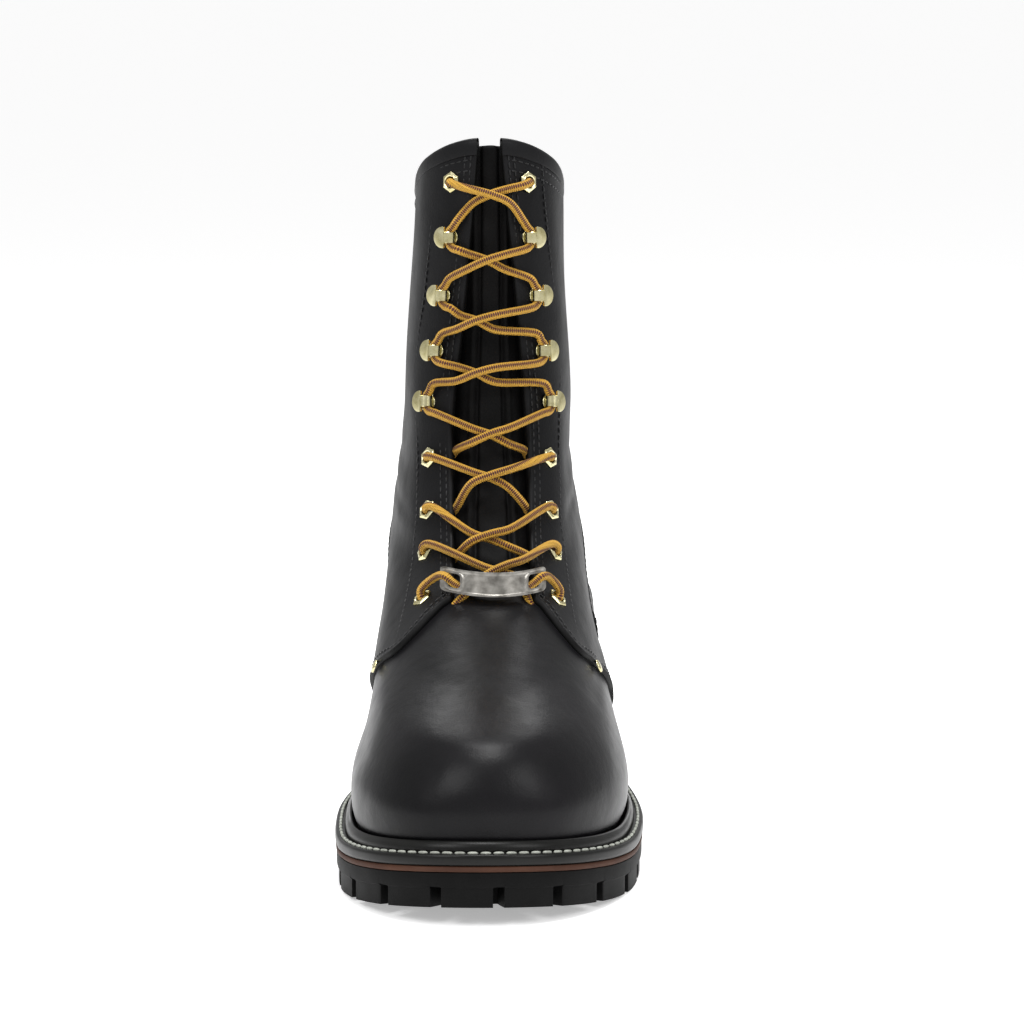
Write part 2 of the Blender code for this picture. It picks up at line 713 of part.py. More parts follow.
def heel_pairs(share, first):
    """Heel outline at a share of its height: 1 under the outsole, 0 at the floor."""
    breast = to_y(HEEL_BREAST)
    back = SOLE_LENGTH / 2
    drop = 1 - share
    squeeze = 1 - drop * HEEL_TAPER_BACK / (back - breast)
    pairs = outline(("welt", -0.0006), 14, first)
    front_half = (pairs[0][1].x - pairs[0][0].x) / 2
    narrow = 1 - drop * HEEL_TAPER_SIDE / front_half
    shaped = []
    for index, pair in enumerate(pairs):
        points = []
        for point in pair:
            y = breast + (point.y - breast) * squeeze
            if index == 0:
                y = breast
            points.append(Vector((point.x * narrow, y, 0)))
        shaped.append(tuple(points))
    return shaped


def build_heel(parts, cutters, rubber):
    first = degrees_at_run(HEEL_BREAST, ("welt", -0.0006))
    top_share = HEEL_LIFT / (seat(SOLE_LENGTH) - FOREFOOT_STACK + HEEL_LIFT)
    top = at_height(heel_pairs(1.0, first), lambda run: tread(run) - GAP)
    low = at_height(heel_pairs(top_share, first), lambda run: HEEL_LIFT + GAP)
    heel = new_object("heel", loft_pairs("heel", [top, low]), parts, rubber)
    lift_top = at_height(heel_pairs(top_share, first), lambda run: HEEL_LIFT)
    lift_low = at_height(heel_pairs(0.0, first), lambda run: 0.0)
    lift = new_object("heel_lift", loft_pairs("heel_lift", [lift_top, lift_low]), parts, rubber)
    work = bmesh.new()
    reach = ("welt", -HEEL_TAPER_SIDE - 0.001)
    start = degrees_at_run(HEEL_BREAST + 0.012, reach)
    for side in (-1, 1):
        for step in range(3):
            degrees = start + (172 - start) * step / 2.4
            here = outline_point(degrees, side, reach)
            inward = outline_point(degrees, side, (reach[0], reach[1] - 0.01)) - here
            inward.z = 0
            inward.normalize()
            groove_box(work, here + inward * 0.006, inward, 0.026, LUG_GROOVE, 0.6 * HEEL_LIFT)
    bmesh.ops.recalc_face_normals(work, faces=work.faces)
    mesh = bpy.data.meshes.new("heel_grooves")
    work.to_mesh(mesh)
    work.free()
    add_boolean(lift, new_object("heel_grooves", mesh, cutters), "DIFFERENCE")
    return heel, lift


def build_tongue(parts, material):
    """Tongue: tucked under the vamp's edge at its root, then back from the throat."""
    start, stop, steps, half_columns = TONGUE_ROOT, COLLAR - TONGUE_TOP, 11, 5
    places = [start + (stop - start) * i / steps for i in range(steps + 1)]
    root = LEATHER + 3 * GAP
    away = LEATHER + 2 * LACE_RADIUS * 0.8

    def lift(place):
        low, high = TONGUE_LEAVES
        share = min(max((place - low) / (high - low), 0.0), 1.0)
        return -(root + (away - root) * share * share * (3 - 2 * share))

    angle_rows = []
    for place in places:
        edge = angle_at(place, min(TONGUE_HALF_WIDTH, 0.43 * SHAFT_WIDTH))
        angle_rows.append([edge * i / half_columns for i in range(-half_columns, half_columns + 1)])
    mesh = sheet_mesh("tongue", places, angle_rows, lift, closed=False)
    tongue = new_object("tongue", mesh, parts, material)
    add_wall(tongue, TONGUE_THICKNESS)
    return tongue


def place_on_upper(side, half, height):
    """Section place and angle of a point at a half spacing and a height."""
    low, high = 6.0, float(COLLAR)
    for _ in range(30):
        middle = (low + high) / 2
        if skin_point(middle, side * angle_at(middle, half)).z < height:
            low = middle
        else:
            high = middle
    place = (low + high) / 2
    return place, side * angle_at(place, half)


def lacing_place(row, side):
    half, height, _ = LACING[row]
    return place_on_upper(side, half * SHAFT_WIDTH, height * SHAFT_HEIGHT)


def sideways(row):
    """Share of a step away from the throat that is along X, at a lacing row."""
    place, angle = lacing_place(row, 1)
    return abs(fitting_matrix(place, angle, 0.0).col[0].x)


def fitting_matrix(place, angle, lift):
    """Frame on the upper: X away from the throat, Z out of the leather."""
    normal, up, _ = skin_frame(place, angle)
    out = up.cross(normal).normalized()
    if out.x * angle < 0:
        out = -out
    along = normal.cross(out)
    matrix = Matrix((out, along, normal)).transposed().to_4x4()
    matrix.translation = skin(place, angle, lift)
    return matrix


def cylinder(work, sides, radius, low, high, squash=1.0):
    made = bmesh.ops.create_cone(work, cap_ends=True, segments=sides, radius1=radius, radius2=radius,
                                 depth=high - low)
    move = Matrix.Translation((0, 0, (high + low) / 2)) @ Matrix.Diagonal((squash, 1, 1, 1))
    bmesh.ops.transform(work, verts=made["verts"], matrix=move)
    return made["verts"]


def solid(name, collection, build):
    work = bmesh.new()
    build(work)
    return new_object(name, mesh_from_bmesh(name, work), collection)


def joined_mesh(name, base, steps, smooth_degrees):
    """Mesh of a solid after Boolean steps, read back for sharing."""
    for other, operation in steps:
        add_boolean(base, other, operation)
    graph = bpy.context.evaluated_depsgraph_get()
    mesh = bpy.data.meshes.new_from_object(base.evaluated_get(graph))
    mesh.name = name
    mesh.shade_smooth()
    mesh.set_sharp_from_angle(angle=math.radians(smooth_degrees))
    for item in [base] + [other for other, _ in steps]:
        bpy.data.objects.remove(item, do_unlink=True)
    return mesh


def eyelet_mesh(cutters):
    depth = LEATHER + QUARTER_STEP + EYELET_PAST_LEATHER
    plate = solid("eyelet_plate", cutters,
                  lambda work: cylinder(work, 6, EYELET_ACROSS / 2, 0.0, EYELET_PLATE))
    barrel = solid("eyelet_barrel", cutters,
                   lambda work: cylinder(work, 8, EYELET_BARREL, -depth, 0.5 * EYELET_PLATE))
    bore = solid("eyelet_bore", cutters,
                 lambda work: cylinder(work, 8, EYELET_BORE, -2 * depth, 2 * EYELET_PLATE))
    return joined_mesh("eyelet", plate, [(barrel, "UNION"), (bore, "DIFFERENCE")], 30)


def hook_strip(work):
    """Bent strip of the hook, seen from its end: foot, bend and top arm."""
    half = HOOK_STRIP / 2
    bend = (HOOK_MOUTH + HOOK_STRIP) / 2
    middle = [(HOOK_FOOT_REACH, half), (-HOOK_BEND_PLACE, half)]
    for step in range(1, 4):
        angle = math.radians(-90 - 45 * step)
        middle.append((bend * math.cos(angle) - HOOK_BEND_PLACE, half + bend + bend * math.sin(angle)))
    middle += [(-HOOK_BEND_PLACE, half + 2 * bend), (HOOK_REACH - 0.0012, half + 2 * bend)]
    left, right = [], []
    for index, (x, z) in enumerate(middle):
        ahead = middle[min(index + 1, len(middle) - 1)]
        behind = middle[max(index - 1, 0)]
        way = Vector((ahead[0] - behind[0], ahead[1] - behind[1])).normalized()
        left.append((x - way.y * half, z + way.x * half))
        right.append((x + way.y * half, z - way.x * half))
    loop = left + right[::-1]
    verts = [work.verts.new((x, -HOOK_NECK / 2, z)) for x, z in loop]
    face = work.faces.new(verts)
    grown = bmesh.ops.extrude_face_region(work, geom=[face])
    moved = [part for part in grown["geom"] if isinstance(part, bmesh.types.BMVert)]
    bmesh.ops.translate(work, verts=moved, vec=(0, HOOK_NECK, 0))


def hook_mesh(cutters):
    low = HOOK_MOUTH + HOOK_STRIP - 0.0001
    strip = solid("hook_strip", cutters, hook_strip)

    def cap(work):
        verts = cylinder(work, 12, HOOK_CAP / 2, low, low + HOOK_STRIP + 0.0002, 0.95)
        for vert in verts:
            vert.co.x = max(vert.co.x + 0.0003, -0.0006)

    head = solid("hook_cap", cutters, cap)
    foot = solid("hook_foot", cutters, lambda work: cylinder(work, 8, HOOK_FOOT_RADIUS, 0.0, HOOK_FOOT))
    return joined_mesh("hook", strip, [(head, "UNION"), (foot, "UNION")], 30)


def build_fittings(parts, cutters, brass):
    """Eyelets and hooks of every row, and the cutter for the eyelets' holes."""
    eyelet, hook = eyelet_mesh(cutters), hook_mesh(cutters)
    for mesh in (eyelet, hook):
        mesh.materials.append(brass)
    work = bmesh.new()
    for row, (_, _, kind) in enumerate(LACING):
        for side, label in ((-1, "inner"), (1, "outer")):
            place, angle = lacing_place(row, side)
            matrix = fitting_matrix(place, angle, QUARTER_STEP + FITTING_GAP)
            mesh = eyelet if kind == "eyelet" else hook
            item = new_object(f"{kind}_{label}_{len(LACING) - row}", mesh, parts)
            item.matrix_world = matrix
            if kind == "eyelet":
                made = bmesh.ops.create_cone(work, cap_ends=True, segments=8, depth=EYELET_CUT,
                                             radius1=EYELET_BARREL + 2 * GAP, radius2=EYELET_BARREL + 2 * GAP)
                bmesh.ops.transform(work, verts=made["verts"], matrix=matrix)
    return new_object("eyelet_holes", mesh_from_bmesh("eyelet_holes", work), cutters)


def build_rivets(parts, brass):
    run, height = RIVET_PLACE[0] * SOLE_LENGTH, RIVET_PLACE[1] * SHAFT_HEIGHT
    for side, label in ((-1, "inner"), (1, "outer")):
        target = Vector((to_y(run), height))
        spots = ((place / 20, angle) for place in range(60, 180) for angle in range(30, 100, 2))
        best = min(spots, key=lambda spot: (skin_point(spot[0], side * spot[1]).yz - target).length)
        work = bmesh.new()
        bmesh.ops.create_cone(work, cap_ends=True, segments=14, depth=RIVET_HEIGHT,
                              radius1=RIVET_RADIUS, radius2=0.6 * RIVET_RADIUS)
        rivet = new_object(f"rivet_{label}", mesh_from_bmesh("rivet", work, 30), parts, brass)
        lift = QUARTER_STEP + 0.0005 + RIVET_HEIGHT / 2
        rivet.matrix_world = fitting_matrix(best[0], side * best[1], lift)


def build_tag(parts, silver):
    """Curved lace tag with a slot near each end."""
    columns, rows = 12, 4
    low_place = lacing_place(0, 1)[0] + BAR_SAG
    lift = QUARTER_STEP + GAP + 2 * LACE_RADIUS + TAG_GAP
    work = bmesh.new()
    grid = []
    for i in range(rows + 1):
        line = []
        for j in range(columns + 1):
            across = TAG_LENGTH * (j / columns - 0.5)
            rise = TAG_HEIGHT * (i / rows - 0.5)
            angle = math.copysign(angle_at(low_place, abs(across)), across) if across else 0.0
            normal, up, _ = skin_frame(low_place, angle)
            line.append(work.verts.new(skin(low_place, angle, lift) + up * rise))
        grid.append(line)
    for i in range(rows):
        for j in range(columns):
            if j in (1, columns - 2) and 1 <= i <= rows - 2:
                continue
            work.faces.new((grid[i][j], grid[i][j + 1], grid[i + 1][j + 1], grid[i + 1][j]))
    mesh = bpy.data.meshes.new("lace_tag")
    work.to_mesh(mesh)
    work.free()
    tag = new_object("lace_tag", mesh, parts, silver)
    wall = add_wall(tag, TAG_THICKNESS)
    wall.offset = 1.0
    return tag


def lace_tube(name, points, collection):
    curve = bpy.data.curves.new(name, "CURVE")
    curve.dimensions = "3D"
    curve.bevel_depth = LACE_RADIUS
    curve.bevel_resolution = 1
    curve.use_fill_caps = True
    spline = curve.splines.new("POLY")
    spline.points.add(len(points) - 1)
    for target, point in zip(spline.points, points):
        target.co = (*point, 1.0)
    item = bpy.data.objects.new(name, curve)
    collection.objects.link(item)
    graph = bpy.context.evaluated_depsgraph_get()
    mesh = bpy.data.meshes.new_from_object(item.evaluated_get(graph))
    bpy.data.objects.remove(item, do_unlink=True)
    work = bmesh.new()
    work.from_mesh(mesh)
    bpy.data.meshes.remove(mesh)
    return new_object(name, mesh_from_bmesh(name, work, 60), collection)


def strand_points(start, end, count=10):
    """Points from (place, half, lift) to the same, following the upper's bend."""
    points = []
    for i in range(count + 1):
        share = i / count
        place = start[0] + (end[0] - start[0]) * share
        half = start[1] + (end[1] - start[1]) * share
        smooth = share * share * (3 - 2 * share)
        lift = start[2] + (end[2] - start[2]) * smooth
        angle = math.copysign(angle_at(place, abs(half)), half)
        points.append(skin(place, angle, lift))
    return points


def build_lace(parts, cutters, material):
    """Bar across the lowest row, then a joined crossing between each pair of rows."""
    over = QUARTER_STEP + FITTING_GAP + EYELET_PLATE + 2.5 * GAP + LACE_RADIUS
    neck = HOOK_BEND_PLACE + HOOK_MOUTH / 2 + HOOK_STRIP + GAP + 0.5 * LACE_RADIUS
    hook_lift = QUARTER_STEP + 2 * GAP + LACE_RADIUS + 0.0006
    halves = [row[0] * SHAFT_WIDTH for row in LACING]
    places = [lacing_place(row, 1)[0] for row in range(len(LACING))]

    rest = QUARTER_STEP + GAP + LACE_RADIUS
    ends = (places[0], -halves[0], over), (places[0] + BAR_SAG, 0.0, rest), (places[0], halves[0], over)
    points = strand_points(ends[0], ends[1], 6) + strand_points(ends[1], ends[2], 6)[1:]
    bar = lace_tube("lace_bar", points, parts)
    bar.data.materials.append(material)

    for row in range(len(LACING) - 1):
        low_hook, high_hook = LACING[row][2] == "hook", LACING[row + 1][2] == "hook"
        throat = blend_rows([line[1] * line[6] for line in SECTIONS], places[row])
        low_half = halves[row] - neck * sideways(row) if low_hook else throat - LACE_RADIUS - 2 * GAP
        low_lift = hook_lift if low_hook else -LACE_UNDER
        low_place = places[row] + (HOOK_START if low_hook else FACING_START) * (places[row + 1] - places[row])
        low_place = max(low_place, VAMP_EDGE + 0.13)
        high_half = halves[row + 1] - (neck * sideways(row + 1) if high_hook else 0.0)
        high_lift = hook_lift if high_hook else over
        high_place = places[row + 1] - (HOOK_START if high_hook else 0.0) * (places[row + 1] - places[row])
        knee_half = throat - KNEE_INSET
        knee_share = (low_half + knee_half) / (low_half + high_half)
        knee_place = low_place + (high_place - low_place) * knee_share
        strands = []
        for side in (-1, 1):
            start = (low_place, side * low_half, low_lift)
            knee = (knee_place, -side * knee_half, hook_lift)
            end = (high_place, -side * high_half, high_lift)
            points = strand_points(start, knee, 5) + strand_points(knee, end, 2)[1:]
            name = f"lace_crossing_{len(LACING) - row}_{len(LACING) - row - 1}"
            strands.append(lace_tube(name, points, cutters if side == 1 else parts))
        crossing, other = strands
        other.name = crossing.name + "_second"
        crossing.data.materials.append(material)
        add_boolean(crossing, other, "UNION")


def main():
    clear_scene()
    parts = make_collection("logger_boot")
    cutters = make_collection("cutters")
    leather = make_material("black_leather", (0.028, 0.028, 0.030), 0.42)
    lining = make_material("tongue_leather", (0.022, 0.021, 0.021), 0.55)
    board = make_material("insole_board", (0.42, 0.30, 0.18), 0.8)
    welt = make_material("welt_rubber", (0.025, 0.026, 0.024), 0.5)
    brown = make_material("brown_midsole", (0.078, 0.035, 0.022), 0.6)
    rubber = make_material("black_rubber", (0.012, 0.012, 0.012), 0.65)
    brass = make_material("brass", (0.55, 0.50, 0.24), 0.25, 1.0)
    silver = make_material("antique_silver", (0.55, 0.54, 0.52), 0.3, 1.0)
    cord = make_material("lace_cord", (0.58, 0.36, 0.05), 0.8)

    build_outsole(parts, cutters, rubber)
    build_heel(parts, cutters, rubber)
    build_midsole(parts, brown)
    build_welt(parts, welt)
    build_insole(parts, board)
    holes = build_fittings(parts, cutters, brass)
    build_upper(parts, cutters, leather, holes)
    build_tongue(parts, lining)
    build_rivets(parts, brass)
    build_tag(parts, silver)
    build_lace(parts, cutters, cord)


main()
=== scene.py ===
"""Black leather logger boot, left foot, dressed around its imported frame.

Metres, +Z up, toe towards -Y. Along the foot, "run" is the distance behind the sole's
toe tip. A "place" is a fractional section number up the upper, and an "angle" goes
round a section from the front (0) to the back (180), positive on the +X side.
"""
import logging
import math
from dataclasses import dataclass, field
from enum import Enum
from typing import Callable, Iterable, Sequence

import bmesh
import bpy
import numpy as np
from mathutils import Matrix, Vector


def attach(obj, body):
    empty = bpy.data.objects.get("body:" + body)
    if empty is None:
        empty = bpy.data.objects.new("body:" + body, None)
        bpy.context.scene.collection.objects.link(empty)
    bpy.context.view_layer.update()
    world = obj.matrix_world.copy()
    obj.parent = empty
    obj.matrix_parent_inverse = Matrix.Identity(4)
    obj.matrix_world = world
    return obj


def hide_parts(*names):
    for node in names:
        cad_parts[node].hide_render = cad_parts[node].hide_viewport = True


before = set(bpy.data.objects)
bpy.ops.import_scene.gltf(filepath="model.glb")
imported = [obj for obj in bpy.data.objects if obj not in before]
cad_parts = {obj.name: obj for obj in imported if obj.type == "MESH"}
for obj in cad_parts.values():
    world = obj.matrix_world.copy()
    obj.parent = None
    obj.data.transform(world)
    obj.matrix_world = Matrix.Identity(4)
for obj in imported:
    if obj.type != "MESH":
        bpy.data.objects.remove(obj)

LOG = logging.getLogger("logger_boot")

# Driving sizes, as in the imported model
SOLE_LENGTH = 0.312
BALL_WIDTH = 0.107
SHAFT_WIDTH = 0.070
SHAFT_HEIGHT = 0.250
FOREFOOT_STACK = 0.020
HEEL_RISE = 0.031
TOE_SPRING = 0.008

# Leather
LEATHER = 0.0018
QUARTER_STEP = 0.0012
COUNTER_STEP = 0.0012
COLLAR_STEP = 0.0007
COLLAR_BAND = 0.0045
TONGUE_THICKNESS = 0.0026

# Sole layers
GAP = 0.0003
WELT_THICKNESS = 0.0044
MIDSOLE_THICKNESS = 0.0020
WELT_REACH_FRONT = 0.0090
WELT_REACH_BACK = 0.0065
WAIST_START = 0.45
WAIST_LENGTH = 0.40
WELT_STITCH_INSET = 0.0019
WELT_STITCH_INSET_BACK = 0.0008
BEAD_HEIGHT = 0.0046
BEAD_WIDTH = 0.0052
FOREFOOT_OUTSOLE = FOREFOOT_STACK - WELT_THICKNESS - MIDSOLE_THICKNESS - 2 * GAP
SHANK_OUTSOLE = 0.0060
LUG_HEIGHT = 0.0077
LUG_PITCH = 0.0235
LUG_LENGTH = 0.0185
LUG_GROOVE = 0.0042
LUG_STEP = 0.0008
LUG_START = 0.0072
LUG_ROUNDING = 0.0004
GROOVE_DEPTH = 0.004
SHARP_RUBBER = 40.0
HEEL_BREAST = 0.226
HEEL_LIFT = 0.0085
HEEL_TAPER_BACK = 0.011
HEEL_TAPER_SIDE = 0.0035

# Hardware and lace
LACE_RADIUS = 0.00165
EYELET_ACROSS = 0.0086
EYELET_PLATE = 0.0009
EYELET_BORE = 0.0021
HOOK_STRIP = 0.0009
HOOK_MOUTH = 0.0040
HOOK_CAP = 0.0086
HOOK_NECK = 0.0046
HOOK_BEND_PLACE = 0.0006
HOOK_FOOT_RADIUS = 0.0036
HOOK_CORNER = 0.00025
PLATE_ROUNDING = 0.0003
SHARP_METAL = 35.0
RIVET_RADIUS = 0.0026
RIVET_HEIGHT = 0.0011
RIVET_GAP = 0.0005
TAG_LENGTH = 0.0356
TAG_HEIGHT = 0.0096
TAG_THICKNESS = 0.0010
TAG_GAP = 0.0009
BAR_SAG = 0.42

# Camera: fitted to the photograph's frame, lengths in metres, focal length in pixels
IMAGE_SIZE = 1024
CAMERA_FOCAL = 3441.7
CAMERA_DISTANCE = 1.2076
CAMERA_HEIGHT = 0.3442
CAMERA_PITCH = 8.989
CAMERA_AXIS_PIXEL = 490.0
SENSOR_WIDTH = 36.0

# Studio: each softbox's place, size and watts
SOFTBOXES = {
    "key": ((-0.60, -0.75, 0.90), (0.5, 0.5), 6.0),
    "fill": ((0.75, -0.70, 0.80), (0.5, 0.5), 5.0),
    "top": ((0.03, -0.10, 1.25), (0.30, 0.60), 13.0),
    "back": ((0.0, 0.85, 0.95), (0.8, 0.4), 6.0),
}
AIM_HEIGHT = 0.11
AIR_STRENGTH = 0.62
FLOOR_WIDTH = 200.0

# The seat line under the upper: run as a share of SOLE_LENGTH, toe spring and heel rise
# as shares of TOE_SPRING and HEEL_RISE
SEAT_LINE = (
    (0.000, 1.00, 0.000), (0.064, 0.52, 0.000), (0.128, 0.17, 0.000), (0.192, 0.00, 0.000),
    (0.369, 0.00, 0.000), (0.417, 0.00, 0.026), (0.465, 0.00, 0.097), (0.513, 0.00, 0.219),
    (0.609, 0.00, 0.500), (0.705, 0.00, 0.774), (0.801, 0.00, 0.935), (0.897, 0.00, 0.987),
    (1.000, 0.00, 1.000),
)

# Sections of the upper, from the sole to the collar. Columns: name, the width that scales
# it, front run and back run with their heights above the seat, half the throat, and the
# half width at every 15 degrees from front to back.
SECTIONS = (
    ("feather", BALL_WIDTH, 0.029, 0.002, 0.979, 0.002, 0.150,
     (0.183, 0.327, 0.430, 0.467, 0.456, 0.374, 0.313, 0.313, 0.329, 0.290, 0.187)),
    ("bead", BALL_WIDTH, 0.024, 0.026, 0.984, 0.022, 0.150,
     (0.204, 0.351, 0.453, 0.495, 0.486, 0.407, 0.348, 0.344, 0.355, 0.318, 0.210)),
    ("bulge", BALL_WIDTH, 0.022, 0.062, 0.986, 0.048, 0.150,
     (0.206, 0.353, 0.453, 0.491, 0.482, 0.419, 0.366, 0.363, 0.374, 0.338, 0.224)),
    ("toe_wall", BALL_WIDTH, 0.032, 0.104, 0.986, 0.076, 0.145,
     (0.176, 0.322, 0.418, 0.453, 0.455, 0.421, 0.383, 0.378, 0.385, 0.346, 0.229)),
    ("toe_brow", BALL_WIDTH, 0.054, 0.145, 0.983, 0.108, 0.140,
     (0.154, 0.285, 0.374, 0.416, 0.430, 0.417, 0.387, 0.383, 0.388, 0.346, 0.224)),
    ("toe_top", BALL_WIDTH, 0.087, 0.175, 0.979, 0.136, 0.136,
     (0.143, 0.253, 0.341, 0.382, 0.403, 0.407, 0.382, 0.379, 0.377, 0.335, 0.217)),
    ("vamp_front", BALL_WIDTH, 0.179, 0.227, 0.966, 0.193, 0.136,
     (0.112, 0.211, 0.292, 0.341, 0.374, 0.384, 0.372, 0.368, 0.357, 0.310, 0.198)),
    ("vamp", BALL_WIDTH, 0.282, 0.282, 0.955, 0.245, 0.145,
     (0.102, 0.186, 0.255, 0.312, 0.349, 0.368, 0.368, 0.359, 0.337, 0.285, 0.180)),
    ("vamp_top", SHAFT_WIDTH, 0.381, 0.337, 0.949, 0.297, 0.223,
     (0.134, 0.257, 0.368, 0.457, 0.515, 0.543, 0.545, 0.526, 0.486, 0.401, 0.245)),
    ("instep", SHAFT_WIDTH, 0.449, 0.389, 0.947, 0.353, 0.217,
     (0.143, 0.283, 0.397, 0.465, 0.506, 0.520, 0.518, 0.499, 0.459, 0.375, 0.223)),
    ("high_instep", SHAFT_WIDTH, 0.503, 0.464, 0.949, 0.413, 0.217,
     (0.146, 0.286, 0.399, 0.452, 0.481, 0.490, 0.485, 0.465, 0.422, 0.343, 0.199)),
    ("ankle", SHAFT_WIDTH, 0.535, 0.565, 0.954, 0.485, 0.209,
     (0.153, 0.290, 0.397, 0.450, 0.472, 0.478, 0.470, 0.450, 0.408, 0.327, 0.186)),
    ("low_shaft", SHAFT_WIDTH, 0.549, 0.700, 0.960, 0.577, 0.160,
     (0.148, 0.279, 0.384, 0.432, 0.451, 0.455, 0.448, 0.428, 0.385, 0.307, 0.174)),
    ("high_shaft", SHAFT_WIDTH, 0.555, 0.849, 0.966, 0.685, 0.107,
     (0.140, 0.265, 0.363, 0.411, 0.428, 0.432, 0.425, 0.406, 0.365, 0.290, 0.164)),
    ("collar", SHAFT_WIDTH, 0.561, 0.982, 0.970, 0.772, 0.067,
     (0.131, 0.250, 0.341, 0.388, 0.407, 0.412, 0.404, 0.386, 0.347, 0.276, 0.157)),
)
SIDE_SWING = (-0.040, -0.036, -0.030, -0.018, -0.006, 0.000, 0.016, 0.032, 0.020, 0.006, 0.0, 0.0, 0.0)
MIDDLE_SHIFT = -0.0038
RIDGE_SWING = (0.0, 0.0, 0.0, 0.004, 0.008, 0.012, 0.018, 0.020, 0.020, 0.014, 0.008, 0.0, 0.0, 0.0, -0.006)
# The sides lean to the inner side of the foot, as a share of BALL_WIDTH, by section
SIDE_LEAN = (
    0.0, 0.0, 0.0, 0.0, -0.010, -0.024, -0.030, -0.030, -0.028, -0.030, -0.024, -0.015, -0.011, -0.011, 0.0,
)
STEP_DEGREES = 15
VAMP_EDGE = 8
# How far apart the form's slopes are read, and how near the middle line they are held
SLOPE_PLACE = 0.02
SLOPE_DEGREES = 0.5
POLE_DEGREES = 0.6
HALVINGS = 26
EDGE_HALVINGS = 36
# The front of a section reaches its widest by here
WIDEST_DEGREES = 75.0
COLLAR = len(SECTIONS) - 1

# Side outlines of the overlays: run (share of SOLE_LENGTH), height (share of SHAFT_HEIGHT)
QUARTER_FRONT = (
    (0.300, 1.25), (0.300, 0.49), (0.372, 0.402), (0.355, 0.374), (0.343, 0.352), (0.339, 0.336),
    (0.346, 0.321), (0.365, 0.307), (0.391, 0.291), (0.420, 0.269), (0.449, 0.246), (0.468, 0.230),
    (0.479, 0.212), (0.492, 0.198), (0.500, 0.120),
)
COUNTER_FRONT = (
    (1.060, 0.490), (0.870, 0.475), (0.795, 0.448), (0.735, 0.400), (0.692, 0.335), (0.668, 0.262),
    (0.655, 0.200), (0.648, 0.120),
)

# Lacing rows from the bottom: half spacing (share of SHAFT_WIDTH), height (share of
# SHAFT_HEIGHT) and what is fitted there
LACING = (
    (0.370, 0.392, "eyelet"), (0.358, 0.452, "eyelet"), (0.344, 0.512, "eyelet"),
    (0.337, 0.592, "eyelet"), (0.326, 0.680, "hook"), (0.286, 0.764, "hook"),
    (0.251, 0.854, "hook"), (0.212, 0.948, "hook"), (0.209, 1.036, "eyelet"),
)
LACING_START = 6
RIVET_PLACE = (0.385, 0.286)

Array = np.ndarray


def linear(hex_color: str) -> tuple[float, float, float, float]:
    """Linear RGBA of an sRGB hex colour."""
    values = [int(hex_color[i:i + 2], 16) / 255 for i in (1, 3, 5)]
    return (*[v / 12.92 if v <= 0.04045 else ((v + 0.055) / 1.055) ** 2.4 for v in values], 1.0)


def catmull(four: Iterable[Array], share: Array) -> Array:
    """Catmull-Rom value between the middle two of four values.

    Args:
        four: the values before, at the start, at the end and after.
        share: how far from the start to the end.

    Returns:
        The blended values.
    """
    before, start, end, after = four
    bend = 2 * before - 5 * start + 4 * end - after
    twist = 3 * start - before - 3 * end + after
    return 0.5 * (2 * start + (end - before) * share + bend * share ** 2 + twist * share ** 3)


def blend_rows(rows: Array, place: Array) -> Array:
    """Catmull-Rom values of a table's rows at fractional row numbers.

    Args:
        rows: one row of values for each whole number.
        place: fractional row numbers.

    Returns:
        One row of values for each place.
    """
    padded = np.concatenate([2 * rows[:1] - rows[1:2], rows, 2 * rows[-1:] - rows[-2:-1]])
    index = np.clip(np.floor(place).astype(int), 0, len(rows) - 2)
    share = (place - index).reshape((-1,) + (1,) * (rows.ndim - 1))
    return catmull((padded[index + k] for k in range(4)), share)


def monotone(points: Sequence[tuple[float, float]], values: Array) -> Array:
    """Curve through points that never overshoots them, held flat past its ends.

    Args:
        points: (x, y) pairs with x rising.
        values: where to read the curve.

    Returns:
        The curve's height at each value.
    """
    x, y = np.array(points, dtype=float).T
    slopes = np.diff(y) / np.diff(x)
    left, right = slopes[:-1], slopes[1:]
    total = np.where(left * right > 0, left + right, 1.0)
    inner = np.where(left * right > 0, 2 * left * right / total, 0.0)
    tangents = np.concatenate([slopes[:1], inner, slopes[-1:]])
    held = np.clip(values, x[0], x[-1])
    index = np.clip(np.searchsorted(x, held, side="right") - 1, 0, len(x) - 2)
    width = x[index + 1] - x[index]
    share = (held - x[index]) / width
    turn = tangents[index] * (1 - share) - tangents[index + 1] * share
    smooth = share * share * (3 - 2 * share)
    return y[index] + (y[index + 1] - y[index]) * smooth + width * share * (1 - share) * turn


def smoothstep(low: float, high: float, value: Array) -> Array:
    """0 before low, 1 after high, eased between them."""
    share = np.clip((value - low) / (high - low), 0.0, 1.0)
    return share * share * (3 - 2 * share)


def seat(run: Array) -> Array:
    """Height of the top of the welt at a distance behind the toe tip.

    Args:
        run: metres behind the toe tip.

    Returns:
        The height.
    """
    share = np.asarray(run, dtype=float) / SOLE_LENGTH
    spring = monotone([(row[0], row[1]) for row in SEAT_LINE], share)
    rise = monotone([(row[0], row[2]) for row in SEAT_LINE], share)
    return FOREFOOT_STACK + TOE_SPRING * spring + HEEL_RISE * rise


def run_of(points: Array) -> Array:
    """Distance behind the toe tip of points."""
    return points[..., 1] + SOLE_LENGTH / 2


